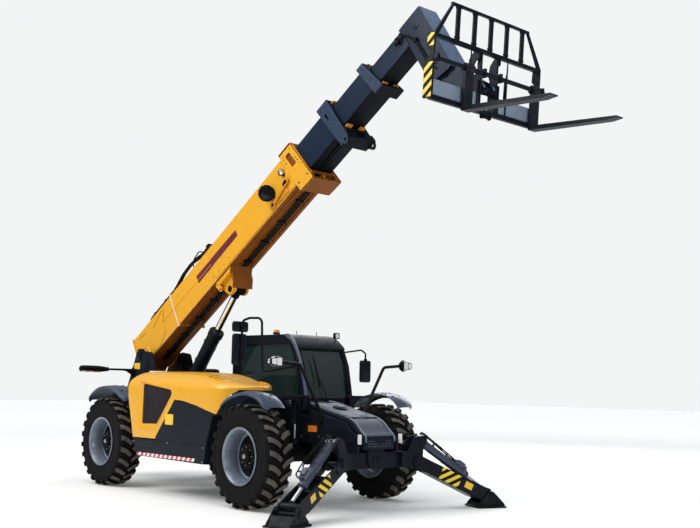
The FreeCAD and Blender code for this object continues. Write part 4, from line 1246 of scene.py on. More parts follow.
def collar_2():
    c = M(BOOM)
    tube_section(c, 1000, 5850, 1805, 2261, 190, 8, 22)
    # downward faces take the near-black navy: painted shade
    paint_light_and_shade_by_facing(c, 1)
    piece("boom_2_tube", c, [NAVY, NAVY_PAINTED_SHADE], "boom_section_2", bevel=2, stands_for=("boom_section_2",))
    c = M(BOOM)
    OUT = fillet([(5600, 2340), (5822, 2350), (5912, 1640), (5800, 1624), (5738, 1655)], [14, 14, 20, 20, 14], 4)
    for sg in (-1, 1):
        y0, y1 = (190, 216) if sg > 0 else (-216, -190)
        c.prism(OUT, y0, y1, holes=[fillet([(5690, 2190), (5722, 2190), (5744, 2096), (5712, 2096)], 6, 3)])
        for s, n in ((5652, 2282), (5764, 2292), (5676, 2050), (5806, 2040), (5792, 1960), (5700, 1950)):
            c.lathe([(0, 13), (5, 13), (7, 9), (7, 0)], (s, sg * 216, n), (0, sg, 0), 18)
        for s, n in ((5800, 1800), (5850, 1720), (5770, 1740)):
            c.bolt((s, sg * 216, n), (0, sg, 0), 13)
        # hanging lug with its eye
        c.prism(fillet([(5760, 1800), (5905, 1760), (5925, 1660), (5890, 1570), (5840, 1560), (5770, 1640)], 28, 5), *((216, 240) if sg > 0 else (-240, -216)),
                holes=[fillet([(5836, 1640), (5880, 1640), (5880, 1600), (5836, 1600)], 19, 5)])
    c.box(5602, 5824, -214, 214, 2322, 2350)
    c.box(5735, 5915, -214, 214, 1628, 1656)
    c.prism([(-190, 1656), (190, 1656), (190, 1805), (-190, 1805)], 5880, 5900, axis="x", holes=[fillet([(-150, 1680), (150, 1680), (150, 1780), (-150, 1780)], 14, 3)])
    c.box(5610, 5625, -190, 190, 2261, 2322)
    c.box(5800, 5815, -190, 190, 2261, 2322)
    for y in (-120, 0, 120):
        c.bolt((5660, y, 2350), (0, 0, 1), 13)
        c.bolt((5770, y, 2350), (0, 0, 1), 13)
    # three plug bolts on each of the tube's flat sides
    for s, n in ((5120, 2180), (5260, 2178), (5530, 2176)):
        c.lathe([(0, 10), (3, 10), (5, 7), (5, 0)], (s, -190, n), (0, -1, 0), 14)
        c.lathe([(0, 10), (3, 10), (5, 7), (5, 0)], (s, 190, n), (0, 1, 0), 14)
    # downward and front-facing faces take the near-black navy: painted shade
    paint_light_and_shade_by_facing(c, 1)
    paint_light_and_shade_by_facing(c, 1, (-1, 0, 0), -0.9)
    piece("boom_2_collar", c, [NAVY_COLLAR, NAVY_PAINTED_SHADE], "boom_section_2", bevel=3)
    p = M(BOOM)
    for y in (-110, 110):
        pad(p, 5900, y, 1840, 60, 90, 26, 0)
        pad(p, 5850, y, 2296, 50, 90, 22, 0)
    piece("boom_2_wear_pads", p, [WEARPAD], "boom_section_2", bevel=4)
    h = M(BOOM)
    h.tube([(5060, -60, 1792), (5700, -60, 1792)], 11, 8)
    h.tube([(5060, -20, 1792), (5700, -20, 1792)], 11, 8)
    piece("boom_2_lines", h, [HOSE], "boom_section_2")


def collar_3():
    c = M(BOOM)
    tube_section(c, 1400, 6600, 1865, 2235, 165, 8, 20)
    # downward faces take the near-black navy: painted shade
    paint_light_and_shade_by_facing(c, 1)
    piece("boom_3_tube", c, [NAVY, NAVY_PAINTED_SHADE], "boom_section_3", bevel=2, stands_for=("boom_section_3",))
    c = M(BOOM)
    OUT = fillet([(6420, 2292), (6545, 2280), (6676, 1800), (6560, 1790), (6516, 1815)], [12, 12, 14, 14, 14], 4)
    for sg in (-1, 1):
        c.prism(OUT, *((165, 186) if sg > 0 else (-186, -165)))
        c.tube([(6436, sg * 188, 2270), (6560, sg * 188, 1806)], 8, 8)
        c.tube([(6532, sg * 188, 2268), (6654, sg * 188, 1808)], 8, 8)
        for s, n in ((6500, 2230), (6530, 2120), (6560, 2010), (6590, 1900)):
            c.bolt((s, sg * 186, n), (0, sg, 0), 10)
        for s, n in ((6020, 2150), (6280, 2146)):
            c.lathe([(0, 10), (3, 10), (5, 7), (5, 0)], (s, sg * 165, n), (0, sg, 0), 14)
    c.box(6422, 6548, -184, 184, 2258, 2292)
    c.box(6520, 6674, -184, 184, 1788, 1818)
    c.box(6440, 6452, -165, 165, 2235, 2260)
    # downward and front-facing faces take the near-black navy: painted shade
    paint_light_and_shade_by_facing(c, 1)
    paint_light_and_shade_by_facing(c, 1, (-1, 0, 0), -0.9)
    piece("boom_3_collar", c, [NAVY_COLLAR, NAVY_PAINTED_SHADE], "boom_section_3", bevel=3)
    p = M(BOOM)
    for y in (-92, 92):
        pad(p, 6650, y, 1856, 44, 80, 24, 0)
        pad(p, 6590, y, 2205, 44, 80, 22, 0)
    piece("boom_3_wear_pads", p, [WEARPAD], "boom_section_3", bevel=4)


def head():
    m = M(BOOM)
    tube_section(m, 1750, 7262, 1894, 2169, 141, 8, 18)
    # downward faces take the near-black navy: painted shade
    paint_light_and_shade_by_facing(m, 1)
    piece("boom_4_tube", m, [NAVY, NAVY_PAINTED_SHADE], "boom_section_4", bevel=2, stands_for=("boom_section_4",))
    g = M(BOOM)
    # box of the head: side plates, front and back, top and bottom
    SIDE = fillet([(7228, 2196), (7602, 2196), (7602, 1212), (7540, 1200), (7244, 1252)], [24, 12, 40, 30, 40], 6)
    for sg in (-1, 1):
        g.prism(SIDE, *((132, 150) if sg > 0 else (-150, -132)))
    g.box(7588, 7604, -141, 141, 1216, 2192)
    g.prism([(7240, 1262), (7590, 1214), (7590, 1228), (7240, 1276)], -133, 133)
    g.box(7240, 7256, -133, 133, 1262, 1890)
    g.box(7236, 7600, -140, 140, 2178, 2192)
    g.prism(rounded(-165, 165, 1870, 2192, 24), 7214, 7240, axis="x", holes=[rounded(-139, 139, 1896, 2167, 16)])
    # neck down to the carriage pin: two cheeks closed by bent plates
    hole = [(HEAD_S + 31 * math.cos(a * math.tau / 24), HEAD_N + 31 * math.sin(a * math.tau / 24)) for a in range(24)]
    NECK = fillet([(7262, 1252), (7600, 1226), (7600, 1196), (7784, 742), (7768, 676), (7720, 656), (7672, 676), (7650, 724), (7430, 1010)],
                  [8, 8, 50, 34, 40, 50, 40, 30, 200], 6)
    for sg in (-1, 1):
        g.prism(NECK, *((82, 100) if sg > 0 else (-100, -82)), holes=[hole])
        g.lathe([(62, 62), (104, 62), (106, 58), (106, 31), (62, 31)], (HEAD_S, 0, HEAD_N), (0, sg, 0), 32, close=True)
    g.prism([(7592, 1210), (7600, 1210), (7760, 815), (7752, 812)], -83, 83)
    g.prism([(7272, 1246), (7282, 1252), (7440, 1016), (7640, 752), (7632, 746), (7430, 1008)], -83, 83)
    # front-facing faces take the paler navy as painted light; downward faces take the near-black navy as painted shade
    paint_light_and_shade_by_facing(g, 1, (-1, 0, 0), -0.8)
    paint_light_and_shade_by_facing(g, 2)
    piece("boom_head_shell", g, [NAVY, NAVY_PAINTED_LIGHT, NAVY_PAINTED_SHADE], "boom_section_4", bevel=2.5)
    d = M(BOOM)
    d.mi = 1
    # raised covers on the front plate, in the paler navy: painted light
    d.prism(fillet([(-92, 1960), (92, 1960), (92, 2120), (-92, 2120)], 26, 4), 7600, 7606, axis="x")
    d.prism(fillet([(-84, 1420), (84, 1420), (84, 1800), (-84, 1800)], 30, 4), 7600, 7606, axis="x")
    for y in (-74, 74):
        for n in (1450, 1610, 1770):
            d.bolt((7606, y, n), (1, 0, 0), 8)
        for n in (1980, 2100):
            d.bolt((7606, y, n), (1, 0, 0), 8)
    d.mi = 0
    for sg in (-1, 1):
        d.lathe([(0, 40), (6, 40), (8, 34), (8, 0)], (7440, sg * 150, 2020), (0, sg, 0), 28)
        d.lathe([(0, 30), (12, 30), (14, 26), (14, 0)], (7430, sg * 150, 1420), (0, sg, 0), 28)
        for s, n in ((7290, 2150), (7560, 2150), (7290, 1950), (7300, 1480), (7556, 1300)):
            d.bolt((s, sg * 150, n), (0, sg, 0), 9)
    # rounded chain anchor on the section's top
    d.prism(fillet([(6700, 2169), (6800, 2169), (6790, 2212), (6712, 2212)], 18, 6), -60, 60)
    piece("boom_head_fittings", d, [NAVY, NAVY_PAINTED_LIGHT], "boom_section_4", bevel=2)
    # tilt ram's lines down the head's right side
    h = M(BOOM)
    for k, y in enumerate((-160, -176)):
        h.tube([(7052, -128, 2104 - k * 30), (7100, y + 4, 2100 - k * 30), (7260, y, 2080 - k * 30), (7330 + 24 * k, y, 1900), (7350 + 24 * k, y, 1420), (7400 + 24 * k, y + 40, 1290), (7420 + 24 * k, y + 70, 1180)], 10, 10, bend=90)
    piece("boom_head_lines", h, [HOSE], "boom_section_4")
    q = M(BOOM)
    for s, n in ((7340, 1860), (7352, 1520)):
        q.box(s - 16, s + 44, -190, -150, n - 14, n + 14)
        q.bolt((s + 14, -190, n), (0, -1, 0), 7)
    for s in (7130, 7210):
        q.box(s - 14, s + 14, -186, -141, 2040, 2120)
    piece("boom_head_clamps", q, [PLASTIC], "boom_section_4", bevel=2)
    pin = M(BOOM)
    for sg in (-1, 1):
        pin.lathe([(148, 0), (148, 44), (158, 44), (162, 40), (162, 0)], (HEAD_S, 0, HEAD_N), (0, sg, 0), 28)
        pin.bolt((HEAD_S, sg * 162, HEAD_N), (0, sg, 0), 16)
    piece("boom_head_pin_caps", pin, [CAST], "carriage")


boom_1()
collar_2()
collar_3()
head()


# ---------------------------------------------------------------- lift ram
def lift_ram():
    c, s = math.cos(R(BOOM_DEG)), math.sin(R(BOOM_DEG))
    tx, tz = RAM_S * c - RAM_N * s, RAM_S * s + RAM_N * c
    bx, bz = -30.0, 930.0
    ln = math.hypot(tx - bx, tz - bz)
    ang = math.atan2(tz - bz, tx - bx)
    tf = RA @ Matrix.Translation((bx, 0, bz)) @ Matrix.Rotation(-ang, 4, "Y")
    m = M(tf)
    m.lathe([(96, 51.5), (96, 90), (106, 98), (1580, 98), (1586, 104), (1600, 112), (1680, 112), (1690, 106), (1690, 51.5)], (0, 0, 0), (1, 0, 0), 48, close=True)
    m.lathe([(60, 30), (70, 74), (96, 78), (112, 78), (112, 30)], (0, 0, 0), (1, 0, 0), 40, close=True)
    for k in range(8):
        a = k * math.tau / 8 + 0.2
        m.bolt((1690, 80 * math.cos(a), 80 * math.sin(a)), (1, 0, 0), 9, washer=False)
    m.lathe([(-85, 40.1), (-85, 78), (-80, 82), (80, 82), (85, 78), (85, 40.1)], (0, 0, 0), (0, 1, 0), 40, close=True)
    # ports, feed pipe and valve block
    m.cyl((150, 0, 90), (150, 0, 132), 24, 20, bev=3)
    m.cyl((1560, 0, 90), (1560, 0, 132), 24, 20, bev=3)
    m.box(330, 520, -45, 45, 92, 158)
    for x in (360, 490):
        m.bolt((x, 0, 158), (0, 0, 1), 12)
    m.tube([(1560, 0, 128), (1530, 0, 146), (540, 0, 146), (500, 0, 140)], 11, 10, bend=20)
    for x in (700, 1050, 1400):
        m.lathe([(x - 12, 98.5), (x - 12, 102), (x + 12, 102), (x + 12, 98.5)], (0, 0, 0), (1, 0, 0), 48, close=True)
        m.box(x - 12, x + 12, -18, 18, 100, 162)
    piece("lift_ram_barrel", m, [DARK], "lift_barrel", bevel=2, stands_for=("lift_barrel",))
    r = M(tf)
    r.lathe([(745, 0), (745, 48), (748, 50), (ln - 68, 50), (ln - 68, 0)], (0, 0, 0), (1, 0, 0), 48)
    piece("lift_ram_rod", r, [CHROME], "lift_rod", stands_for=("lift_rod",))
    e = M(tf)
    e.lathe([(-85, 0), (-85, 38), (-83, 40), (-83, 74), (-79, 78), (79, 78), (83, 74), (83, 40), (85, 38), (85, 0)], (ln, 0, 0), (0, 1, 0), 40)
    e.lathe([(ln - 128, 0), (ln - 128, 56), (ln - 120, 62), (ln - 72, 64), (ln - 60, 56), (ln - 60, 0)], (0, 0, 0), (1, 0, 0), 36)
    piece("lift_ram_eye", e, [CAST], "lift_rod", bevel=1.5)


lift_ram()


# ---------------------------------------------------------------- carriage, load guard, forks
def carriage():
    def more(m):
        m.tf = FORK
        for sg in (-1, 1):
            # swept hook plates between the rails
            hook = fillet([(-14, 704), (-20, 560), (-46, 470), (-52, 300), (-40, 92), (-9, 92), (-9, 704)], [4, 60, 60, 60, 10, 4, 4], 5)
            m.prism(hook, *((300, 316) if sg > 0 else (-316, -300)))
            for h in (60, 720):
                for y in (200, 420, 640, 820):
                    m.bolt((-8 if h == 60 else -5, sg * y, h), (1, 0, 0), 9)
            top = fillet([(-9, 742), (-74, 742), (-150, 650), (-168, 540), (-150, 470), (-112, 462), (-104, 540), (-66, 610), (-9, 640)], [4, 20, 40, 50, 30, 20, 30, 40, 4], 6)
            m.prism(top, *((165, 185) if sg > 0 else (-185, -165)))
            m.prism(fillet([(-9, 92), (-60, 92), (-128, 150), (-150, 300), (-128, 380), (-60, 420), (-9, 400)], [4, 30, 40, 40, 40, 30, 4], 6), *((165, 185) if sg > 0 else (-185, -165)))
            m.lathe([(875, 46), (868, 46), (868, 24)], (25, 0, 470), (0, sg, 0), 24)
            m.lathe([(895, 40), (902, 40), (905, 34), (905, 0)], (25, 0, 470), (0, sg, 0), 24)
            for h in (110, 245):
                for y in (160, 500, 840):
                    m.bolt((-25, sg * y, h), (1, 0, 0), 7, washer=False)
    keep("carriage", [DARK], "carriage", bevel=3, extra=more)
    lp = M(FORK)
    for sg in (-1, 1):
        lp.prism(fillet([(124, 96), (870, 96), (870, 260), (124, 260)] if sg > 0 else [(-870, 96), (-124, 96), (-124, 260), (-870, 260)], 10, 3), -24.6, -22, axis="x")
    piece("carriage_lower_plates", lp, [LGREY], "carriage", bevel=0.8, bseg=1)
    z = M(FORK)
    for sg in (-1, 1):
        y = sg * 896.4
        n = (0, sg, 0)
        for h0, h1, u0 in ((66, 436, -130), (612, 748, -106)):
            o, a, b = (u0, y, h0), (u0, y, h1), (-12, y, h0)
            if sg > 0:
                o, a, b = (-12, y, h0), (-12, y, h1), (u0, y, h0)
            hazard(z, (o, a, b), n, 118, 58, 0, 1, slant=0.85 if sg < 0 else -0.85)
    piece("carriage_stripes", z, [HAZ_Y, HAZ_K], "carriage")
    p = M(FORK)
    # tilt pin's bosses, and the quick-lock pin with its end caps
    for sg in (-1, 1):
        p.lathe([(100, 58), (118, 58), (118, 31), (100, 31)], (-59.4, 0, 328.5), (0, sg, 0), 28, close=True)
    p.cyl((-30, -60, 20), (-30, 60, 20), 20, 20, bev=3)
    p.lathe([(0, 30), (8, 30), (10, 26), (10, 0)], (-30, 60, 20), (0, 1, 0), 20)
    p.lathe([(0, 30), (8, 30), (10, 26), (10, 0)], (-30, -60, 20), (0, -1, 0), 20)
    piece("carriage_pins", p, [CAST], "carriage", bevel=1.5)

    def gmore(m):
        m.tf = FORK
        for y in (-540, -270, 0, 270, 540):
            for h in (770, 1095):
                m.prism([(y - 30, h - 12), (y + 30, h - 12), (y + 40, h + 14 if h < 900 else h + 14), (y - 40, h + 14)], -31, -9, axis="x")
    keep("load_guard", [DARK], "carriage", bevel=3, extra=gmore)
    for side, y in (("right", -380.0), ("left", 765.0)):
        def fmore(m, y=y):
            m.tf = FORK
            m.box(53, 66, y - 40, y + 40, 395, 430)
            m.lathe([(y - 65, 50), (y - 60, 52), (y + 60, 52), (y + 65, 50), (y + 65, 27), (y - 65, 27)], (25, 0, 470), (0, 1, 0), 28, close=True)
        keep("fork_" + side, [FORKSTEEL], "fork_" + side, bevel=7, bseg=3, extra=fmore)


carriage()


# ---------------------------------------------------------------- nose cover and tongue
NOSE = [(3010, 1262), (3420, 1250), (3900, 1150), (4270, 1068), (4455, 930), (4520, 870), (4520, 735)]


def nose():
    line = smooth_line(NOSE, 5)
    n = len(line)
    nrm = []
    for i in range(n):
        a, b = line[max(0, i - 1)], line[min(n - 1, i + 1)]
        ln = math.hypot(b[0] - a[0], b[1] - a[1])
        nrm.append((-(b[1] - a[1]) / ln, (b[0] - a[0]) / ln))
    m = M()
    prof = [(-246, -70), (-246, -14), (-238, -4), (-222, 0), (-120, 4), (0, 6), (120, 4), (222, 0), (238, -4), (246, -14), (246, -70)]
    ou = [[(x + nx * h, y, z + nz * h) for y, h in prof] for (x, z), (nx, nz) in zip(line, nrm)]
    thin = [(y * 0.972, h - 8 if abs(y) < 243 else h) for y, h in prof]
    inn = [[(x + nx * h, y, z + nz * h) for y, h in thin] for (x, z), (nx, nz) in zip(line, nrm)]
    m.slab(ou, inn)
    piece("nose_cover_skin", m, [NOSE_GLOSS], "chassis", bevel=1.5, stands_for=("nose_cover",))

    def at(x):
        for (a, za), (b, zb), na in zip(line, line[1:], nrm):
            if a <= x <= b:
                t = (x - a) / (b - a)
                return za + (zb - za) * t, na
        return line[-1][1], nrm[-1]
    d = M()
    # edge rails along both sides, in a paler paint that is a painted highlight along the nose's edges
    for sg in (-1, 1):
        pts = []
        for i in range(4, n - 3):
            (x, z), (nx, nz) = line[i], nrm[i]
            pts.append((x + nx * 10, sg * 229, z + nz * 10))
        d.tube(pts, 11, 8, mi=0)
    # slats of the air outlet, on a dark tray
    tray = M()
    rows_a, rows_b = [], []
    for i in range(n):
        (x, z), (nx, nz) = line[i], nrm[i]
        if 3520 <= x <= 4250:
            rows_a.append([(x + nx * 7.5, y, z + nz * 7.5) for y in (-205, 0, 205)])
            rows_b.append([(x + nx * 3, y, z + nz * 3) for y in (-205, 0, 205)])
    tray.slab(rows_a, rows_b)
    piece("nose_outlet_tray", tray, [PLASTIC], "chassis")
    for k in range(17):
        x = 3560 + k * 40
        z, (nx, nz) = at(x)
        tx, tz = nz, -nx
        c = (x + nx * 15, z + nz * 15)
        q = [(c[0] + tx * 15 - nx * 4, c[1] + tz * 15 - nz * 4), (c[0] + tx * 15, c[1] + tz * 15), (c[0] - tx * 15 + nx * 7, c[1] - tz * 15 + nz * 7), (c[0] - tx * 15 + nx * 3, c[1] - tz * 15 + nz * 3)]
        for y0, y1 in ((-198, -8), (8, 198)):
            if not (3700 < x < 3900 and y0 < 0 and False):
                d.prism(q, y0, y1, mi=1)
    z, nn = at(3800)
    # filler cap on its ring
    o = (3800 + nn[0] * 8, 0, z + nn[1] * 8)
    ax = (nn[0], 0, nn[1])
    d.lathe([(0, 96), (26, 92), (30, 84), (30, 60)], o, ax, 40, 2)
    d.lathe([(20, 66), (34, 64), (44, 56), (48, 40), (50, 0)], o, ax, 40, 1)
    for k in range(12):
        a = k * math.tau / 12
        d.tube([(o[0] + nn[0] * 30 + math.cos(a) * nn[1] * 60, math.sin(a) * 60, o[2] + nn[1] * 30 - math.cos(a) * nn[0] * 60),
                (o[0] + nn[0] * 46 + math.cos(a) * nn[1] * 52, math.sin(a) * 52, o[2] + nn[1] * 46 - math.cos(a) * nn[0] * 52)], 5, 6, mi=1)
    # four recessed screws, two of them near the front
    for x, y in ((3470, -150), (3470, 150), (4380, -160), (4380, 160)):
        z, (nx, nz) = at(x)
        d.bolt((x + nx * 6, y, z + nz * 6), (nx, 0, nz), 9, 3)
    # paler plate over the drop at the front, painted light on the sloped face, then rows of small vents in the upright
    # face
    drop = M()
    ra, rb = [], []
    for i in range(n):
        (x, z), (nx, nz) = line[i], nrm[i]
        if x > 4262 and z > 880:
            ra.append([(x + nx * 8.2, y, z + nz * 8.2) for y in (-212, 0, 212)])
            rb.append([(x + nx * 3, y, z + nz * 3) for y in (-212, 0, 212)])
    drop.slab(ra, rb)
    piece("nose_drop_painted_light_plate", drop, [NOSE_DROP_PAINTED_LIGHT], "chassis", bevel=1.0)
    for r in range(3):
        for c in range(11):
            d.box(4522, 4529, -190 + c * 34.5, -170 + c * 34.5, 762 + r * 30, 778 + r * 30, 1)
    piece("nose_slats_and_rails", d, [RAIL_PAINTED_HIGHLIGHT, SLAT, PLASTIC, STEEL], "chassis", bevel=1.2)
    # black panels between the nose and the frame, with the front reflectors and grille louvres
    s = M()
    for sg in (-1, 1):
        y0, y1 = (334, 342) if sg > 0 else (-342, -334)
        s.prism(fillet([(3430, 900), (3430, 1190), (3900, 1096), (4230, 1014), (4400, 892), (4440, 800), (3900, 800)], [20, 14, 60, 60, 40, 20, 20], 4), y0, y1, mi=0)
        s.prism([(3600, 893), (3790, 893), (3790, 996), (3600, 996)], *((342, 345) if sg > 0 else (-345, -342)), mi=0)
        s.prism(fillet([(3614, 906), (3777, 906), (3777, 983), (3614, 983)], 12, 3), *((345, 352) if sg > 0 else (-352, -345)), mi=1)
        for k in range(5):
            z0 = 842 + k * 26
            s.box(4040, 4330 - k * 10, *((342, 350) if sg > 0 else (-350, -342)), z0, z0 + 12, 0)
        s.box(4500, 4560, *((326, 332) if sg > 0 else (-332, -326)), 800, 912, 3)
        for k in range(3):
            s.bolt((3480 + k * 330, sg * 342, 850), (0, sg, 0), 9, 4)
    piece("nose_side_panels", s, [PANEL, ORANGE, LGREY, WHITE, STEEL], "chassis", bevel=2.5)


nose()


# ---------------------------------------------------------------- stabiliser beam
def beam():
    def more(m):
        for sg in (-1, 1):
            m.tf = STAB_L if sg > 0 else STAB_R
            for w in (104, -104):
                dd = 1 if w > 0 else -1
                m.lathe([(0, 62), (2.5, 62), (4.5, 58), (4.5, 40), (2, 38), (2, 0)], (50, w, 822), (0, dd, 0), 40)
                m.lathe([(0, 66), (3, 66), (4.5, 62), (4.5, 32)], (0, w, 590), (0, dd, 0), 36)
            for dd in (1, -1):
                m.lathe([(138, 28), (138, 46), (150, 46), (153, 42), (153, 30), (148, 27), (148, 0)], (0, 0, 590), (0, dd, 0), 32)
                m.box(40, 52, *sorted((dd * 139, dd * 149)), 562, 574)
                m.lathe([(104, 34), (111, 34), (113, 30), (113, 0)], (50, 0, 822), (0, dd, 0), 28)
                # edge strips stiffening the upright
                m.tube([(-186, dd * 106, 690), (-150, dd * 106, 694), (-52, dd * 106, 860), (-20, dd * 106, 868)], 6, 6)
            m.box(-170, -60, -84, 84, 560, 576)
        m.tf = RA
        # front plate's bolts, ribs and joint lines
        for y in (-32, 32):
            m.bolt((4466, y, 618), (1, 0, 0), 22)
        for y in (-118, 118):
            m.bolt((4466, y, 712), (1, 0, 0), 12)
        for y in (-420, -250, 250, 420):
            for z in (545, 655):
                m.bolt((4440, y, z), (1, 0, 0), 12)
        for y in (-300, 300):
            m.prism([(4325, 692), (4325, 820), (4436, 692)], y - 32, y - 24)
            m.prism([(4325, 692), (4325, 820), (4436, 692)], y + 24, y + 32)
        m.box(4328, 4444, -472, 472, 686, 694)
        m.box(4328, 4444, -472, 472, 508, 516)

    def slim(bm):
        for tf in (STAB_L, STAB_R):
            inv = tf.inverted()
            for v in bm.verts:
                q = inv @ v.co
                r = math.hypot(q.x, q.z - 590)
                if abs(q.y) > 104.5 and r < 31:
                    q.x *= 0.96
                    q.z = 590 + (q.z - 590) * 0.96
                    v.co = tf @ q
    keep("stabiliser_beam", [DARK], "chassis", bevel=5, bseg=3, extra=more, drop=slim)
    h = M()
    # lines across the beam to both legs
    for sg in (-1, 1):
        for k in range(2):
            h.tube([(4318 - 20 * k, sg * 120, 706 + 8 * k), (4318 - 20 * k, sg * 330, 716 + 8 * k), (4330 - 20 * k, sg * 450, 790 + 14 * k), (4360 - 20 * k, sg * 560, 880 + 10 * k), (4420, sg * 650, 905 + 12 * k)], 10, 8, bend=60)
    piece("beam_lines", h, [HOSE], "chassis")


beam()


# ---------------------------------------------------------------- stabiliser legs, feet and rams
def leg(side):
    tf = STAB_L if side == "left" else STAB_R
    L = math.hypot(980.0, 460.0)

    # leg axes: x along the leg from its pin, y across, z square to both
    lm = tf @ Matrix.Translation((0, 0, 590)) @ Matrix.Rotation(math.atan2(460.0, 980.0), 4, "Y")

    def more(m):
        m.tf = lm
        for w in (130, -130):
            dd = 1 if w > 0 else -1
            # doubler plates at the near end, bosses at the far pin
            m.prism(fillet([(-52, -46), (-52, 30), (20, 50), (160, 48), (190, 0), (150, -62), (0, -72)], [30, 30, 30, 30, 40, 30, 30], 5), *sorted((w, w + dd * 4)))
            m.lathe([(0, 44), (6, 44), (8, 41), (8, 25.2), (0, 25.2)], (L, w, 0), (0, dd, 0), 32, close=True)
        m.box(162, 898, -131, 131, -93, -89)
        for x in (300, 520, 740):
            m.box(x - 5, x + 5, -114, 114, -78, -30)
        # cross tubes between the side plates
        m.cyl((600, -114, -20), (600, 114, -20), 22, 20)
        m.cyl((L - 140, -114, -36), (L - 140, 114, -36), 26, 24)
        for x in (210, 236):
            m.bolt((x - 60, -134, -30 + (x - 210)), (0, -1, 0), 15)
            m.bolt((x - 60, 134, -30 + (x - 210)), (0, 1, 0), 15)
    name = "stabiliser_leg_" + side
    keep(name, [DARK], name, bevel=4, bseg=3, extra=more)
    # slanted black and yellow marks on both side plates, and a blank label
    z = M(lm)
    for w in (130.2, -130.2):
        dd = 1 if w > 0 else -1
        a, b = (330, 615)
        if dd > 0:
            o, al, ac = (b, w, -86), (a, w, -86), (b, w, 62)
        else:
            o, al, ac = (a, w, -86), (b, w, -86), (a, w, 62)
        hazard(z, (o, al, ac), (0, dd, 0), 112, 56, 0, 1, slant=0.95 if dd < 0 else -0.95)
        q = [(690, w, -38), (800, w, -38), (800, w, 40), (690, w, 40)]
        z.decal(q if dd < 0 else q[::-1], 2, 1.0, (0, dd, 0))
    piece("stabiliser_marks_" + side, z, [HAZ_Y, HAZ_K, SIGN], name)

    def fmore(m):
        m.tf = tf
        for w in (-1, 1):
            m.lathe([(152, 38), (164, 38), (167, 34), (167, 0)], (980, 0, 130), (0, w, 0), 28)
            m.box(966, 994, *sorted((w * 152, w * 160)), 168, 176)
            for x in (830, 1130):
                m.bolt((x, w * 168, 20), (0, 0, 1), 12)
        # rolled rim round the sole and a wall at the inner end
        rim = fillet([(787, -183), (1170, -183), (1170, 183), (787, 183)], 22, 5)
        m.tube([(x, y, 12) for x, y in rim] + [(rim[0][0], rim[0][1], 12)], 11, 8)
        m.prism([(800, 20), (812, 20), (846, 62), (834, 62)], -140, 140)
        m.box(1064, 1075, -140, 140, 116, 124)
    fname = "stabiliser_foot_" + side
    keep(fname, [DARK_LOW], fname, bevel=4, bseg=3, extra=fmore)

    # ram
    t, r = (50.0, 822.0), (950.0, 205.0)
    ln = math.hypot(r[0] - t[0], r[1] - t[1])
    ram = tf @ Matrix.Translation((t[0], 0, t[1])) @ Matrix.Rotation(math.atan2(t[1] - r[1], r[0] - t[0]), 4, "Y")
    b = M(ram)
    b.lathe([(-70, 25.2), (-70, 44), (-66, 48), (66, 48), (70, 44), (70, 25.2)], (0, 0, 0), (0, 1, 0), 36, close=True)
    b.lathe([(34, 29.5), (34, 40), (50, 49), (60, 52), (720, 52), (724, 57), (732, 60), (776, 60), (784, 55), (784, 29.5)], (0, 0, 0), (1, 0, 0), 48, close=True)
    for k in range(6):
        a = k * math.tau / 6
        b.bolt((784, 43 * math.cos(a), 43 * math.sin(a)), (1, 0, 0), 6, washer=False)
    # valve block, pipe and clamps on the upper side of the barrel
    b.box(560, 730, -30, 46, 50, 96)
    b.box(600, 700, -18, 34, 96, 118)
    for x in (580, 712):
        b.cyl((x, 46, 76), (x, 70, 76), 13, 6, bev=2)
    b.cyl((560, 8, 76), (534, 8, 76), 12, 6, bev=2)
    b.lathe([(0, 12), (30, 12), (30, 7), (44, 7), (44, 0)], (650, 46, 104), (0, 1, 0.2), 14)
    b.tube([(730, 8, 74), (756, 8, 72), (764, 4, 56)], 8, 10)
    for x in (200, 420):
        b.lathe([(x - 9, 52.4), (x - 9, 55), (x + 9, 55), (x + 9, 52.4)], (0, 0, 0), (1, 0, 0), 40, close=True)
        b.box(x - 9, x + 9, -14, 20, 54, 84)
    bn = "stabiliser_barrel_" + side
    piece("stabiliser_ram_barrel_" + side, b, [RAMPAINT], bn, bevel=1.5, stands_for=(bn,))
    hz = M(ram)
    hz.tube([(536, 8, 76), (420, 8, 92), (200, 4, 92), (70, 0, 84), (10, 0, 92), (-30, 10, 70)], 8, 8, bend=30)
    hz.tube([(580, 68, 76), (520, 92, 82), (300, 66, 92), (120, 30, 96), (20, 16, 100), (-26, 20, 84)], 9, 8, bend=40)
    hz.tube([(712, 68, 76), (690, 96, 96), (540, 98, 106), (320, 74, 112), (120, 44, 110), (20, 30, 112), (-20, 36, 98)], 9, 8, bend=40)
    piece("stabiliser_ram_lines_" + side, hz, [HOSE], bn)
    fit = M(ram)
    for x, y, zc in ((580, 70, 76), (712, 70, 76), (650, 46, 92), (618, 34, 118)):
        fit.cyl((x, y - 4, zc), (x, y + 12, zc), 9, 6, bev=1.5)
    piece("stabiliser_ram_fittings_" + side, fit, [STEEL], bn)
    q = M(ram)
    q.lathe([(300, 0), (300, 27), (303, 28), (ln - 30, 28), (ln - 30, 0)], (0, 0, 0), (1, 0, 0), 40)
    rn = "stabiliser_rod_" + side
    piece("stabiliser_ram_rod_" + side, q, [CHROME], rn, stands_for=(rn,))
    e = M(ram)
    e.lathe([(-100, 0), (-100, 32), (-97, 35), (-56, 35), (-54, 38), (54, 38), (56, 35), (97, 35), (100, 32), (100, 0)], (ln, 0, 0), (0, 1, 0), 36)
    e.lathe([(ln - 62, 0), (ln - 62, 33), (ln - 58, 36), (ln - 34, 36), (ln - 30, 30), (ln - 30, 0)], (0, 0, 0), (1, 0, 0), 30)
    piece("stabiliser_ram_eye_" + side, e, [DARK], rn, bevel=1)


leg("left")
leg("right")


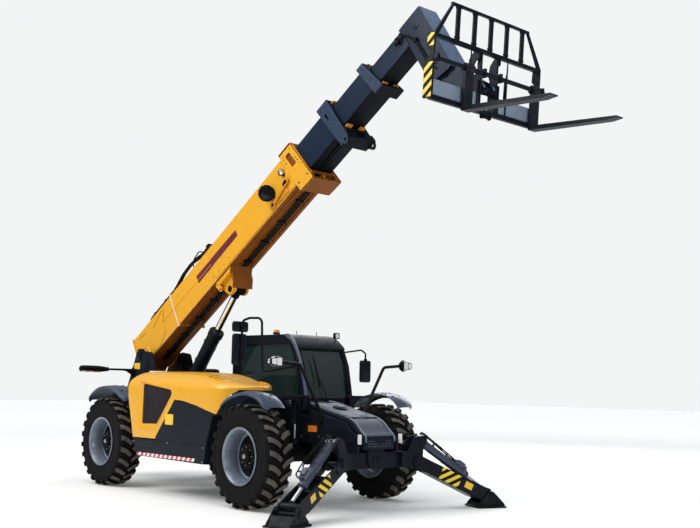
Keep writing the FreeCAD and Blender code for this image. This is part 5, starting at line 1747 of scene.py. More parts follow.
# ---------------------------------------------------------------- levelling strut at the right front
def strut():
    m = M()
    X = 3450.0
    m.lathe([(0, 38), (6, 42), (40, 42), (46, 38), (300, 38), (306, 44), (336, 44), (340, 40), (340, 0)], (X, -430, 1330), (0, 0, -1), 36, 0, caps=True)
    m.box(X - 40, X + 40, -440, -332, 1290, 1340, 0)
    m.box(X - 44, X + 44, -346, -331, 1098, 1342, 0)
    for x in (X - 24, X + 24):
        for z in (1130, 1200):
            m.bolt((x, -346, z), (0, -1, 0), 12, 0)
    m.prism([(-346, 1290), (-346, 1200), (-420, 1290)], X - 6, X + 6, axis="x", mi=0)
    m.box(X - 28, X + 28, -500, -466, 1226, 1290, 0)
    m.cyl((X, -500, 1246), (X, -524, 1246), 13, 6, mi=3, bev=2)
    m.cyl((X, -500, 1272), (X, -524, 1272), 13, 6, mi=3, bev=2)
    m.lathe([(0, 22), (190, 22), (190, 0)], (X, -430, 992), (0, 0, -1), 32, 1)
    m.lathe([(-34, 0), (-34, 34), (34, 34), (34, 0)], (X, -430, 790), (0, 1, 0), 28, 0)
    m.tube([(X, -522, 1246), (X, -552, 1244), (X + 60, -540, 1180), (X + 120, -470, 1120), (X + 150, -352, 1090)], 10, 8, bend=40, mi=2)
    m.tube([(X, -522, 1272), (X + 4, -562, 1270), (X + 80, -556, 1190), (X + 160, -470, 1110), (X + 190, -352, 1070)], 10, 8, bend=40, mi=2)
    piece("levelling_ram", m, [DARK, CHROME, HOSE, STEEL], "chassis", bevel=1.5, stands_for=("levelling_strut",))


strut()


# ---------------------------------------------------------------- cab: shell, roof, seals, trim
SIDE_WIN = [(1180, 1290), (2580, 1290), (2570, 1420), (2510, 1720), (2400, 1960), (2320, 2040), (1180, 2040)]
VISOR = paint("visor_gloss", (0.007, 0.010, 0.018), rough=0.42, coat=0.0, var=0.08, bump=0.02, spec=0.1)
# pale blue-grey: painted highlight on the right front post guard
PILLAR_PAINTED_HIGHLIGHT = paint("pillar_painted_highlight", (0.075, 0.110, 0.170), rough=0.28, coat=0.6, var=0.12, bump=0.03, streak=0.2)
SCREEN = paint("display_dark", (0.010, 0.016, 0.022), rough=0.08, coat=0.8, var=0.2, bump=0.0)


def closed(pts):
    return list(pts) + [pts[0]]


def cab_shell_extra(m):
    # pressed ribs along the roof sides and a gutter over the windows
    for y in (372, 1128):
        m.tube([(1250, y, 2166), (1850, y, 2162), (2190, y, 2157), (2300, y, 2132)], 9, 10, bend=80)
    for y in (333, 1192):
        m.tube([(1075, y, 2098), (1245, y, 2158), (2190, y, 2148), (2322, y, 2110), (2400, y, 2052)], 6, 8, bend=60)
    # roof window trim
    ring = fillet([(1430, 400), (2140, 400), (2140, 1100), (1430, 1100)], 40, 5)
    hole = fillet([(1456, 426), (2114, 426), (2114, 1074), (1456, 1074)], 26, 5)
    m.prism(ring, 2158, 2172, "z", holes=[list(reversed(hole))])
    # rear wall vent with slats
    for k in range(9):
        z = 860 + 38 * k
        m.prism([(990, z), (1001, z + 24), (1001, z)], 470, 1030)
    for y in (455, 1035):
        m.box(988, 1001, y, y + 12, 845, 1215)
    # sill under the right window
    m.prism([(1060, 1262), (2640, 1250), (2640, 1228), (1060, 1236)], 326, 336)


def cab_front():
    s = M()
    rr = 7
    # rubber seals round every pane
    s.tube([(x, 331, z) for x, z in closed(fillet(SIDE_WIN, 46, 5))], rr, 8)
    s.tube([(996, y, z) for y, z in closed(fillet([(400, 1290), (1100, 1290), (1100, 2000), (400, 2000)], 40, 5))], rr, 8)
    s.tube([(x, 1194, z) for x, z in closed(fillet([(1120, 1290), (1440, 1290), (1440, 2000), (1120, 2000)], 40, 5))], rr, 8)
    front = [(2704, 1292), (2690, 1400), (2620, 1738), (2516, 1972)]
    path = [(x, 374, z) for x, z in front] + [(x, 1128, z) for x, z in reversed(front)]
    s.tube(path + [path[0]], 8, 8)
    piece("cab_window_seals", s, [PLASTIC], "chassis")

    v = M()
    # sun visor over the windscreen and header panel
    line = [(2205, 2166), (2290, 2146), (2350, 2118), (2430, 2062), (2506, 2004), (2530, 1966)]
    for i in range(len(line) - 1):
        pass
    outer = [[(x + 7, y, z + 7) for y in (344, 420, 760, 1100, 1181)] for x, z in line]
    inner = [[(x + 1, y, z + 1) for y in (344, 420, 760, 1100, 1181)] for x, z in line]
    v.slab(outer, inner, 0)
    piece("cab_visor", v, [VISOR], "chassis", bevel=2)

    p = M()
    # curved guard on the right front post with its lower bracket; its pale blue-grey paint is a painted highlight
    line = [(2290, 2146), (2352, 2128), (2440, 2062), (2530, 1935), (2612, 1772), (2680, 1560), (2738, 1330), (2772, 1216), (2812, 1160), (2880, 1128)]
    line = smooth_line(line, 5)
    outer, inner = [], []
    for i, (x, z) in enumerate(line):
        a, b = line[max(0, i - 1)], line[min(len(line) - 1, i + 1)]
        dx, dz = b[0] - a[0], b[1] - a[1]
        ln = math.hypot(dx, dz)
        nx, nz = -dz / ln, dx / ln
        w = 30
        row = [(x - nx * w, z - nz * w), (x - nx * w * 0.4, z - nz * w * 0.4), (x + nx * w * 0.4, z + nz * w * 0.4), (x + nx * w, z + nz * w)]
        outer.append([(q[0], yy, q[1]) for q, yy in zip(row, (318, 309, 309, 318))])
        inner.append([(q[0], 324, q[1]) for q in row])
    p.slab(outer, inner, 0)
    piece("cab_post_guard", p, [PILLAR_PAINTED_HIGHLIGHT], "chassis", bevel=1.5)
    q = M()
    for x, z in ((2310, 2136), (2478, 2012), (2606, 1780), (2700, 1490), (2762, 1250)):
        q.cyl((x, 322, z), (x, 337, z), 11, 14)
    for z in (1262, 1420):
        q.box(2688, 2722, 322, 336, z, z + 26)
    piece("cab_post_guard_stays", q, [DARK], "chassis", bevel=2)

    w = M()
    # wiper: motor cap, arm, blade and washer nozzle
    w.cyl((2706, 714, 1262), (2734, 714, 1254), 20, 20, bev=3)
    w.tube([(2728, 714, 1258), (2722, 704, 1300), (2680, 640, 1500), (2638, 560, 1660)], 6.5, 8, bend=60)
    blade = [(2704, 600, 1430), (2683, 588, 1530), (2660, 572, 1640), (2628, 552, 1770), (2590, 534, 1880)]
    w.tube([(x + 6, y, z) for x, y, z in blade], 6, 6)
    w.tube([(x - 3, y, z) for x, y, z in blade], 3.2, 6)
    w.tube([(2704, 584, 1450), (2662, 556, 1655), (2612, 530, 1850)], 4, 6)
    w.lathe([(0, 12), (12, 10), (14, 0)], (2708, 900, 1266), (0.5, 0, 1), 12)
    piece("windscreen_wiper", w, [PLASTIC], "chassis", bevel=1)

    a = M()
    # two short aerials on rubber feet
    for x, y, z in ((1831, 860, 2163), (1960, 1128, 2158)):
        a.lathe([(0, 22), (6, 21), (14, 12), (22, 8), (24, 5), (74, 4), (80, 6), (88, 6), (90, 0)], (x, y, z), (0, 0, 1), 16)
    piece("roof_aerials", a, [PLASTIC], "chassis")

    h = M()
    # grab rails beside the door, with end bosses on the first
    h.tube([(1462, 1188, 1020), (1462, 1226, 1040), (1462, 1226, 1800), (1462, 1188, 1820)], 13, 14, bend=30)
    h.tube([(2606, 1180, 1300), (2632, 1214, 1320), (2572, 1214, 1660), (2540, 1180, 1680)], 11, 12, bend=24)
    for z in (1020, 1820):
        h.cyl((1462, 1186, z), (1462, 1194, z), 22, 20, bev=2)
    piece("cab_grab_rails", h, [HAZ_K], "chassis")


cab_front()
keep("cab_shell", [DARK], "chassis", bevel=9, bseg=3, extra=cab_shell_extra)


def glass_extra(m):
    # thin heating wires on the rear pane
    for k in range(11):
        z = 1340 + 58 * k
        m.tube([(1011, 430, z), (1011, 1070, z)], 1.2, 5)


keep("cab_glass", [GLASS], "chassis", bevel=1.0, bseg=1, extra=glass_extra)


def door_extra(m):
    # seal, handle with its recess, inner grab bar, stiffening ribs
    m.tube([(x, 1187, z) for x, z in closed(fillet([(1520, 812), (2478, 812), (2525, 1208), (2568, 1264), (2550, 1414), (2492, 1712), (2385, 1944), (2310, 2018), (1520, 2018)], 40, 5))], 5, 8)
    m.prism(fillet([(2300, 1142), (2450, 1142), (2450, 1190), (2300, 1190)], 14, 4), 1186, 1194)
    m.tube([(2320, 1190, 1166), (2330, 1212, 1166), (2420, 1212, 1166), (2432, 1190, 1166)], 9, 12, bend=14)
    m.cyl((2446, 1186, 1166), (2446, 1197, 1166), 10, 16, bev=2)
    m.tube([(1600, 1152, 1168), (1610, 1118, 1168), (2260, 1118, 1168), (2270, 1152, 1168)], 11, 12, bend=26)
    for z in (930, 1830):
        for dz in (14, 46):
            m.bolt((1536, 1196, z + dz), (0, 1, 0), 7)
        m.cyl((1500, 1203, z - 4), (1500, 1203, z + 64), 12.5, 16, bev=2)
    for x in (1700, 1900, 2100):
        m.prism(fillet([(x, 826), (x + 60, 826), (x + 60, 846), (x, 846)], 6, 3), 1187, 1191)


keep("cab_door", [DARK], "cab_door", bevel=5, bseg=3, extra=door_extra)


def door_glass_extra(m):
    # sliding catch on the window
    m.prism(fillet([(2140, 1560), (2200, 1560), (2200, 1600), (2140, 1600)], 8, 3), 1174, 1182)


keep("door_glass", [GLASS], "cab_door", bevel=1.0, bseg=1, extra=door_glass_extra)


# ---------------------------------------------------------------- cab inside
def cab_inside():
    m = M()
    # floor mat with ribs, headliner, pedals
    m.prism(fillet([(1060, 380), (2280, 380), (2280, 1140), (1060, 1140)], 30, 4), 761, 769, "z")
    for k in range(22):
        m.box(1960 + 14 * k, 1966 + 14 * k, 420, 1100, 769, 773)
    m.prism(fillet([(1260, 2112), (2180, 2104), (2180, 2092), (1260, 2100)], 4, 2), 372, 418)
    m.prism(fillet([(1260, 2112), (2180, 2104), (2180, 2092), (1260, 2100)], 4, 2), 1082, 1146)
    # side console beside the seat
    m.prism(fillet([(1300, 770), (1980, 770), (2010, 1000), (1960, 1150), (1300, 1180)], 40, 5), 376, 500)
    piece("cab_lining_parts", m, [CAB_TRIM], "chassis", bevel=6)
    p = M()
    for y in (610, 880):
        p.prism(fillet([(2190, 800), (2262, 890), (2254, 898), (2182, 808)], 3, 2), y - 36, y + 36)
        p.tube([(2226, y, 850), (2270, y, 820), (2284, y, 790)], 7, 8)
    # control stick on the console
    p.lathe([(0, 34), (8, 34), (22, 22), (38, 12)], (1900, 438, 1158), (0, 0, 1), 20)
    p.tube([(1900, 438, 1170), (1906, 438, 1240), (1912, 440, 1280)], 9, 10)
    p.lathe([(0, 12), (10, 19), (46, 24), (72, 22), (86, 12), (90, 0)], (1908, 439, 1262), (0.1, 0, 1), 20)
    for k in range(3):
        for j in range(4):
            p.cyl((1560 + 60 * j, 410 + 26 * k, 1160), (1560 + 60 * j, 410 + 26 * k, 1178), 8, 12, bev=2)
    piece("cab_controls", p, [PLASTIC], "chassis", bevel=2)

    d = M()
    # dashboard body, instrument pod, vents
    d.prism(fillet([(2282, 764), (2538, 764), (2558, 1200), (2558, 1252), (2430, 1268), (2292, 1178)], [10, 10, 40, 30, 60, 40], 6), 422, 1078, mi=0)
    d.prism(fillet([(2300, 1186), (2424, 1262), (2396, 1300), (2360, 1308), (2284, 1246)], 18, 5), 610, 890, mi=0)
    d.decal([(2296, 640, 1252), (2296, 860, 1252), (2354, 860, 1292), (2354, 640, 1292)], 1, 2.0, (-0.57, 0, 0.82))
    for y in (470, 540, 950, 1020):
        d.lathe([(0, 26), (6, 27), (9, 24), (5, 20), (4, 0)], (2330, y, 1203), (-0.56, 0, 0.83), 24, 2)
        for t in (-12, 0, 12):
            d.box(2322, 2338, y - 18, y + 18, 1206 + t * 0.5, 1208 + t * 0.5, 2)
    # column
    d.lathe([(0, 34), (40, 34), (60, 28), (180, 26), (205, 30), (216, 30)], (2330, 750, 1160), (-0.684, 0, 0.73), 28, 0)
    # wheel: rim with grip, hub and three spokes
    ax = Vector((-0.68, 0, 0.73)).normalized()
    prof = [(16 * math.sin(t * math.tau / 12), 190 + 16 * math.cos(t * math.tau / 12)) for t in range(12)]
    d.lathe(prof, (2180, 750, 1320), ax, 64, 2, close=True)
    d.lathe([(-8, 0), (-8, 44), (4, 46), (12, 40), (15, 0)], (2180, 750, 1320), ax, 32, 2)
    up = Vector((0.73, 0, 0.68)).normalized()
    for w in (up, Vector((0, 0.866, 0)) - up * 0.5, Vector((0, -0.866, 0)) - up * 0.5):
        c = Vector((2180, 750, 1320))
        d.tube([tuple(c + w * 36), tuple(c + w * 110 - ax * 4), tuple(c + w * 182)], 11, 12, mi=2, flat=0.6)
    d.tube([tuple(Vector((2180, 750, 1320)) - up * 165 + Vector((0, 60, 0)) + ax * 12), tuple(Vector((2180, 750, 1320)) - up * 165 + Vector((0, 60, 0)) + ax * 52)], 14, 14, mi=2)
    piece("dashboard_and_wheel", d, [CAB_TRIM, SCREEN, PLASTIC], "chassis", bevel=2, stands_for=("dashboard",))


cab_inside()


# ---------------------------------------------------------------- padded seat, blown up like a sewn cover
def blob(x0, x1, y0, y1, z0, z1, power=7.0, cuts=14):
    """Rounded block as a fine sheet, ready for remeshing."""
    bm = bmesh.new()
    bmesh.ops.create_cube(bm, size=2.0)
    bmesh.ops.subdivide_edges(bm, edges=bm.edges, cuts=cuts, use_grid_fill=True)
    c = Vector(((x0 + x1) / 2, (y0 + y1) / 2, (z0 + z1) / 2))
    h = Vector(((x1 - x0) / 2, (y1 - y0) / 2, (z1 - z0) / 2))
    hm = min(h)
    for v in bm.verts:
        q = Vector([v.co[i] * h[i] for i in range(3)])
        r = min(38.0, hm * 0.75)
        core = Vector([max(-(h[i] - r), min(h[i] - r, q[i])) for i in range(3)])
        d = q - core
        if d.length > 1e-6:
            q = core + d.normalized() * r
        v.co = RA @ (c + q)
    return bm


def cushion(name, dims, grooves, body, cap=10.0, stands=()):
    x0, x1, y0, y1, z0, z1 = dims
    slack = 7.0
    me = bpy.data.meshes.new(name)
    bm = blob(x0 + slack, x1 - slack, y0 + slack, y1 - slack, z0 + slack, z1 - slack)
    bm.to_mesh(me)
    bm.free()
    ob = bpy.data.objects.new(name, me)
    bpy.context.scene.collection.objects.link(ob)
    rm = ob.modifiers.new("voxels", "REMESH")
    rm.mode = "VOXEL"
    rm.voxel_size = 0.006
    bpy.context.view_layer.update()
    dg = bpy.context.evaluated_depsgraph_get()
    fine = bpy.data.meshes.new_from_object(ob.evaluated_get(dg))
    ob.modifiers.clear()
    ob.data = fine
    rest = [v.co.copy() for v in fine.vertices]
    cl = ob.modifiers.new("cloth", "CLOTH")
    st = cl.settings
    st.quality = 4
    st.mass = 0.25
    st.tension_stiffness = st.compression_stiffness = 12
    st.shear_stiffness = 6
    st.bending_stiffness = 0.6
    st.use_pressure = True
    st.uniform_pressure_force = 4.0
    st.effector_weights.gravity = 0.0
    cl.collision_settings.use_collision = False
    sc = bpy.context.scene
    cl.point_cache.frame_start, cl.point_cache.frame_end = 1, 20
    for f in range(1, 21):
        sc.frame_set(f)
    dg = bpy.context.evaluated_depsgraph_get()
    ev = ob.evaluated_get(dg)
    got = [v.co.copy() for v in ev.data.vertices]
    ob.modifiers.clear()
    sc.frame_set(1)
    lim = cap / 1000.0
    for v, a, b in zip(fine.vertices, rest, got):
        d = b - a
        v.co = a + (d if d.length <= lim else d.normalized() * lim)
    # stays inside its block
    lo, hi = RA @ Vector((x0 + 1, y0 + 1, z0 + 1)), RA @ Vector((x1 - 1, y1 - 1, z1 - 1))
    inv = RA.inverted()
    for v in fine.vertices:
        for i in range(3):
            v.co[i] = max(lo[i], min(hi[i], v.co[i]))
    # sewn channels after the filling
    for v in fine.vertices:
        p = inv @ v.co
        drop = 0.0
        for axis, at, depth, wide in grooves:
            d = abs(p[axis] - at)
            if d < wide:
                drop = max(drop, depth * (1 - (d / wide) ** 2) ** 2)
        if drop:
            c = Vector(((x0 + x1) / 2, (y0 + y1) / 2, (z0 + z1) / 2))
            thin = min(range(3), key=lambda i: (x1 - x0, y1 - y0, z1 - z0)[i])
            sgn = 1 if p[thin] > c[thin] else -1
            p[thin] -= sgn * drop
            v.co = RA @ p
    sd = ob.modifiers.new("round", "SUBSURF")
    sd.levels = sd.render_levels = 1
    fine.materials.clear()
    fine.materials.append(CLOTH)
    fine.polygons.foreach_set("use_smooth", [True] * len(fine.polygons))
    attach(ob, body)
    if stands:
        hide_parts(*stands)
    return ob


cushion("seat_cushion", (1484, 1956, 524, 976, 1004, 1118), [(1, 600, 7, 13), (1, 900, 7, 13), (0, 1600, 4, 11), (0, 1720, 4, 11), (0, 1840, 4, 11)], "chassis")
cushion("seat_backrest", (1402, 1498, 534, 966, 1124, 1636), [(1, 606, 7, 13), (1, 894, 7, 13), (2, 1250, 4, 11), (2, 1370, 4, 11), (2, 1490, 4, 11)], "chassis")
cushion("seat_headrest", (1422, 1488, 624, 876, 1663, 1797), [(2, 1730, 3, 10)], "chassis")


def seat_base():
    m = M()
    # shell under the pads, bellows, rails, posts of the headrest, belt buckle
    m.prism(fillet([(1490, 990), (1945, 990), (1952, 1003), (1484, 1003)], 5, 3), 532, 968, mi=0)
    m.prism(fillet([(1384, 1090), (1398, 1090), (1398, 1630), (1384, 1630)], 5, 3), 545, 955, mi=0)
    for k in range(5):
        z = 800 + 34 * k
        a, b = (12, 0) if k % 2 else (0, 0)
        m.prism(fillet([(1512 + a, 612 + a), (1888 - a, 612 + a), (1888 - a, 888 - a), (1512 + a, 888 - a)], 36, 5), z, z + 34, "z", mi=0)
    m.prism(fillet([(1500, 600), (1900, 600), (1900, 900), (1500, 900)], 20, 4), 764, 800, "z", mi=0)
    m.prism(fillet([(1502, 602), (1898, 602), (1898, 898), (1502, 898)], 20, 4), 968, 990, "z", mi=0)
    for y in (725, 775):
        m.cyl((1455, y, 1600), (1455, y, 1690), 6, 12, mi=1)
    m.tube([(1600, 990, 1010), (1620, 1006, 1060), (1622, 1008, 1110)], 8, 10, mi=0)
    m.prism(fillet([(1606, 1105), (1640, 1105), (1640, 1165), (1606, 1165)], 6, 3), 998, 1018, mi=0)
    # arm rests hinged on the back frame
    for y0, y1 in ((500, 528), (972, 1000)):
        m.prism(fillet([(1390, 1240), (1700, 1262), (1712, 1282), (1700, 1300), (1400, 1300), (1384, 1270)], 14, 4), y0, y1, mi=0)
    piece("seat_frame", m, [PLASTIC, STEEL], "chassis", bevel=3, stands_for=("seat",))


seat_base()


# ---------------------------------------------------------------- lamps, mirrors, arms
def lamp_arms():
    m = M()
    for tf in (RA, RA @ FLIP):
        m.tf = tf
        m.tube([(3850, 352, 1040), (3850, 352, 1130), (3850, 693, 1712), (3850, 990, 1738)], 20, 18, bend=70, bseg=6)
        m.prism(fillet([(3815, 990), (3885, 990), (3885, 1090), (3815, 1090)], 12, 4), 331, 346)
        for x in (3828, 3872):
            for z in (1004, 1076):
                m.bolt((x, 346, z), (0, 1, 0), 8)
        m.lathe([(0, 27), (26, 27), (30, 23)], (3850, 352, 1045), (0, 0, 1), 20)
        m.tube([(-700, 331, 1655), (-700, 560, 1656), (-700, 800, 1656)], 16, 18)
        m.prism(fillet([(331, 1492), (331, 1650), (600, 1650), (470, 1632), (380, 1580)], [4, 4, 4, 90, 90], 5), -707, -693, "x")
        m.lathe([(0, 42), (10, 42), (16, 30), (34, 19)], (-700, 345, 1655), (0, 1, 0), 24)
    m.tf = RA
    m.tube([(3850, -690, 1700), (3850, -1250, 1610), (3850, -1275, 2235), (3850, -1450, 2225), (3850, -1552, 2188), (3850, -1552, 1690)], 14, 14, bend=60, bseg=6)
    m.tube([(2470, 1190, 1940), (2470, 1222, 1940), (2700, 1345, 1975), (2742, 1390, 1930), (2742, 1390, 1832)], 12, 14, bend=40, bseg=6)
    # clamps that hold the mirrors
    for z in (1760, 1950, 2120):
        m.prism(fillet([(3832, z), (3868, z), (3868, z + 40), (3832, z + 40)], 8, 3), -1572, -1532)
        m.bolt((3868, -1552, z + 20), (1, 0, 0), 7)
    m.prism(fillet([(2726, 1812), (2760, 1812), (2760, 1852), (2726, 1852)], 8, 3), 1372, 1408)
    m.prism(fillet([(2452, 1915), (2490, 1915), (2490, 1965), (2452, 1965)], 8, 3), 1188, 1204)
    m.prism(fillet([(3828, 1672), (3872, 1672), (3872, 1724), (3828, 1724)], 10, 3), -722, -680)
    return piece("lamp_and_mirror_arms", m, [HAZ_K], "chassis", bevel=1.5, stands_for=("lamp_arms",))


lamp_arms()


def lamp_set():
    m = M()
    for tf in (RA, RA @ FLIP):
        m.tf = tf
        # silver bell with a dark band, tapering outwards, in a black rear cup on a yoke
        m.tf = tf @ Matrix.Translation((3850, 1081, 1739)) @ Matrix.Diagonal((0.74, 1, 1, 1))
        m.lathe([(-86, 0), (-86, 40), (-80, 52), (-66, 61), (-44, 65.5), (-20, 66), (4, 62), (28, 52), (52, 40), (72, 30), (84, 20), (88, 0)], (0, 0, 0), (0, 1, 0), 48, 0)
        m.lathe([(-24, 64), (-22, 67), (-10, 67), (-8, 64)], (0, 0, 0), (0, 1, 0), 48, 1)
        m.lathe([(-88, 0), (-88, 44), (-82, 55), (-68, 64), (-60, 66.5), (-54, 66.5), (-54, 60)], (0, 0, 0), (0, 1, 0), 48, 1)
        for k in range(5):
            h = 44 - 6 * k
            m.box(56 - 4 * k, 62 - 4 * k, -40 + 22 * k, -36 + 22 * k, -h, h, 0)
        m.tf = tf
        # front face: black bezel with two bright cells
        m.prism(fillet([(1000, 1683), (1090, 1690), (1160, 1707), (1160, 1771), (1090, 1788), (1000, 1795)], 16, 4), 3862, 3904, "x", mi=1)
        for cell in ([(1008, 1692), (1078, 1697), (1078, 1781), (1008, 1786)], [(1088, 1700), (1152, 1712), (1152, 1766), (1088, 1778)]):
            m.prism(fillet(cell, 9, 3), 3902, 3908, "x", mi=2)
        for q in (-1, 1):
            m.tube([(3850, 1062, 1739 + q * 66), (3850, 1030, 1739 + q * 70), (3850, 992, 1739 + q * 40), (3850, 984, 1739)], 8, 10, mi=1, bend=16)
        # rear lamp: long round housing, ribbed towards its arm, coloured lenses facing back
        o = (-700, 780, 1656)
        prof = [(0, 0), (0, 30), (12, 34), (24, 30), (36, 36), (48, 32), (60, 39), (72, 36), (110, 44), (200, 49), (300, 50), (400, 50), (446, 46), (464, 34), (469, 16), (470, 0)]
        m.lathe(prof, o, (0, 1, 0), 36, 1)
        for y in (1010, 1130):
            m.lathe([(y - 780, 48), (y - 778, 51), (y - 770, 51), (y - 768, 48)], o, (0, 1, 0), 36, 1)
        for y0, y1, mi in ((920, 1002, 4), (1020, 1122, 3), (1140, 1226, 2)):
            m.lathe([(y0 - 780, 47), (y0 - 778, 50.6), (y1 - 782, 50.6), (y1 - 780, 47)], o, (0, 1, 0), 16, mi, start=math.radians(40), sweep=math.radians(100))
    m.tf = RA
    # work lamp on the roof corner
    sq = fillet([(1042, 2128), (1128, 2128), (1128, 2213), (1042, 2213)], 14, 4)
    m.prism(sq, 2436, 2474, "x", mi=1)
    m.prism(sq, 2472, 2480, "x", holes=[list(reversed(fillet([(1052, 2138), (1118, 2138), (1118, 2203), (1052, 2203)], 8, 4)))], mi=1)
    m.prism(fillet([(1052, 2138), (1118, 2138), (1118, 2203), (1052, 2203)], 8, 4), 2473, 2477, "x", mi=2)
    for k in range(6):
        m.box(2422, 2437, 1052 + 12 * k, 1056 + 12 * k, 2136, 2206, 1)
    m.tube([(2440, 1085, 2130), (2436, 1085, 2110), (2420, 1085, 2070)], 8, 10, mi=1, bend=10)
    # beacon: pale foot, black body, amber cap, lifting loop
    o = (1850, 480, 2165)
    m.lathe([(0, 0), (0, 60), (7, 60), (11, 52), (14, 46)], o, (0, 0, 1), 40, 5)
    m.lathe([(14, 46), (20, 50), (38, 50), (44, 46)], o, (0, 0, 1), 40, 1)
    m.lathe([(44, 45), (62, 43), (76, 36), (82, 24), (84, 0)], o, (0, 0, 1), 40, 3)
    m.tube([(1894, 480, 2190), (1912, 480, 2222), (1902, 480, 2248), (1884, 480, 2240), (1884, 480, 2214)], 5, 8, mi=0, bend=10)
    piece("lamps_all_round", m, [REFLECTOR, PLASTIC, WHITE, AMBER, LAMP_RED, LGREY], "chassis", bevel=1.2, stands_for=("lamps",))
    g = M()
    for tf in (RA, RA @ FLIP):
        # clear lens over the front of the bell
        g.tf = tf @ Matrix.Translation((3850, 1081, 1739)) @ Matrix.Diagonal((0.74, 1, 1, 1))
        g.lathe([(-52, 66.5), (-40, 67.5), (-26, 67.4)], (0, 0, 0), (0, 1, 0), 20, 0, start=math.radians(-60), sweep=math.radians(120))
    piece("headlamp_lenses", g, [LENS], "chassis")


lamp_set()


def mirror_head(m, xg, xb, y0, y1, z0, z1, r):
    """Moulded shell with its glass on the xg side."""
    def rect(d, x):
        q = fillet([(y0 + d, z0 + d), (y1 - d, z0 + d), (y1 - d, z1 - d), (y0 + d, z1 - d)], max(r - d, 5), 6)
        return [(x, y, z) for y, z in q]
    t = xb - xg
    rows = [rect(9, xg + t * 0.14), rect(8, xg + t * 0.02), rect(2, xg), rect(0, xg + t * 0.2), rect(0, xg + t * 0.55), rect(5, xg + t * 0.78), rect(16, xg + t * 0.92), rect(34, xg + t)]
    vr = m.grid(rows, 0, close_v=True)
    m.f(vr[-1], 0)
    gv = [m.v(p) for p in rect(9, xg + t * 0.13)]
    m.f(list(reversed(gv)), 1)


def mirrors():
    m = M()
    mirror_head(m, 3806, 3835, -1660, -1460, 1680, 2040, 34)
    mirror_head(m, 3806, 3835, -1665, -1445, 2060, 2180, 30)
    mirror_head(m, 2725, 2760, 1290, 1490, 1520, 1830, 34)
    piece("mirror_heads", m, [SHELLBLACK, MIRRORGLASS], "chassis", stands_for=("mirrors",))


mirrors()


# ---------------------------------------------------------------- frame, counterweight, axles, side tank
def frame_extra(m):
    for tf in (RA, RA @ FLIP):
        m.tf = tf
        # rounded pivot housing on the tower
        hs = fillet([(-700, 1640), (-682, 1700), (-632, 1838), (-400, 1948), (-150, 1920), (-46, 1690), (-70, 1640)], [30, 40, 70, 90, 80, 60, 30], 6)
        m.prism(hs, 331, 344)
        m.lathe([(0, 84), (8, 82), (12, 72), (12, 64), (20, 62), (24, 54), (24, 0)], (-538.3, 344, 1873.4), (0, 1, 0), 40)
        for k in range(6):
            a = (k + 0.5) * math.tau / 6
            m.bolt((-538.3 + 73 * math.cos(a), 355, 1873.4 + 73 * math.sin(a)), (0, 1, 0), 7, None, washer=False)
        m.prism(fillet([(-480, 1660), (-300, 1660), (-250, 1850), (-400, 1880)], 60, 6), 343, 352)
        for x, z in ((-640, 1665), (-100, 1670), (-180, 1880), (-590, 1835)):
            m.bolt((x, 343, z), (0, 1, 0), 12)
        # doubler plates and stiffening bars along the frame side
        m.prism(fillet([(-180, 700), (-180, 1130), (180, 1080), (180, 700)], 50, 5), 330, 338)
        m.prism(fillet([(3220, 800), (3220, 1120), (3580, 1080), (3580, 800)], 50, 5), 330, 338)
        m.prism(fillet([(260, 1128), (2880, 1128), (2880, 1156), (260, 1156)], 6, 3), 330, 342)
        m.prism(fillet([(260, 478), (3020, 478), (3020, 500), (260, 500)], 6, 3), 330, 342)
        for k in range(9):
            m.bolt((420 + 300 * k, 331, 1090), (0, 1, 0), 12)
        for x0 in (-140, 60):
            for z in (740, 1020):
                m.bolt((x0, 338, z), (0, 1, 0), 16)
                m.bolt((3340 + x0, 338, z + 40), (0, 1, 0), 16)


keep("chassis_frame", [DARK], "chassis", bevel=4, extra=frame_extra)


def tower_labels():
    m = M()
    for s in (-1, 1):
        m.box(-676, -502, s * 344 - (1.4 if s < 0 else 0), s * 344 + (0 if s < 0 else 1.4), 1668, 1762)
    piece("tower_blank_labels", m, [SIGN], "chassis", bevel=0.4, bseg=1)
    h = M()
    # hydraulic lines from the frame up to the boom foot and along the inside
    for k, y in enumerate((-262, -236, -210, 214, 240)):
        h.tube([(-260 + 12 * k, y, 1180), (-300, y, 1420), (-420, y, 1560), (-640, y, 1600), (-760, y, 1500), (-780, y, 1300)], 13, 10, bend=110, bseg=6)
    for k, y in enumerate((-286, -262)):
        h.tube([(420, y, 1040 - 34 * k), (1600, y, 1046 - 34 * k), (2700, y, 1030 - 34 * k), (3300, y, 960 - 34 * k)], 11, 10, bend=200, bseg=6)
    piece("frame_lines", h, [HOSE], "chassis")


tower_labels()


def weight_extra(m):
    # lifting bosses, bolts and cast ribs
    for y in (-300, 300):
        m.lathe([(0, 46), (16, 44), (22, 34), (22, 16), (8, 14), (8, 0)], (-1330, y, 1222), (-0.83, 0, 0.55), 28)
    for y in (-460, -230, 230, 460):
        m.bolt((-1400, y, 1050), (-1, 0, 0), 20)
        m.bolt((-1400, y, 780), (-1, 0, 0), 20)
    m.prism(fillet([(-420, 860), (420, 860), (420, 990), (-420, 990)], 30, 5), -1406, -1399, "x")
    for s in (-1, 1):
        m.prism(fillet([(-1380, 740), (-1380, 1090), (-1250, 1300), (-940, 1300), (-940, 700)], 40, 5), s * 526 - 7, s * 526 + 7)
    # jaw pin with its handle
    m.cyl((-1440, 0, 770), (-1440, 0, 930), 18, 20, bev=3)
    m.tube([(-1440, 0, 926), (-1440, 0, 950), (-1440, 46, 962), (-1440, 56, 940)], 7, 10, bend=14)


keep("counterweight", [DARK_LOW], "chassis", bevel=12, bseg=3, extra=weight_extra)


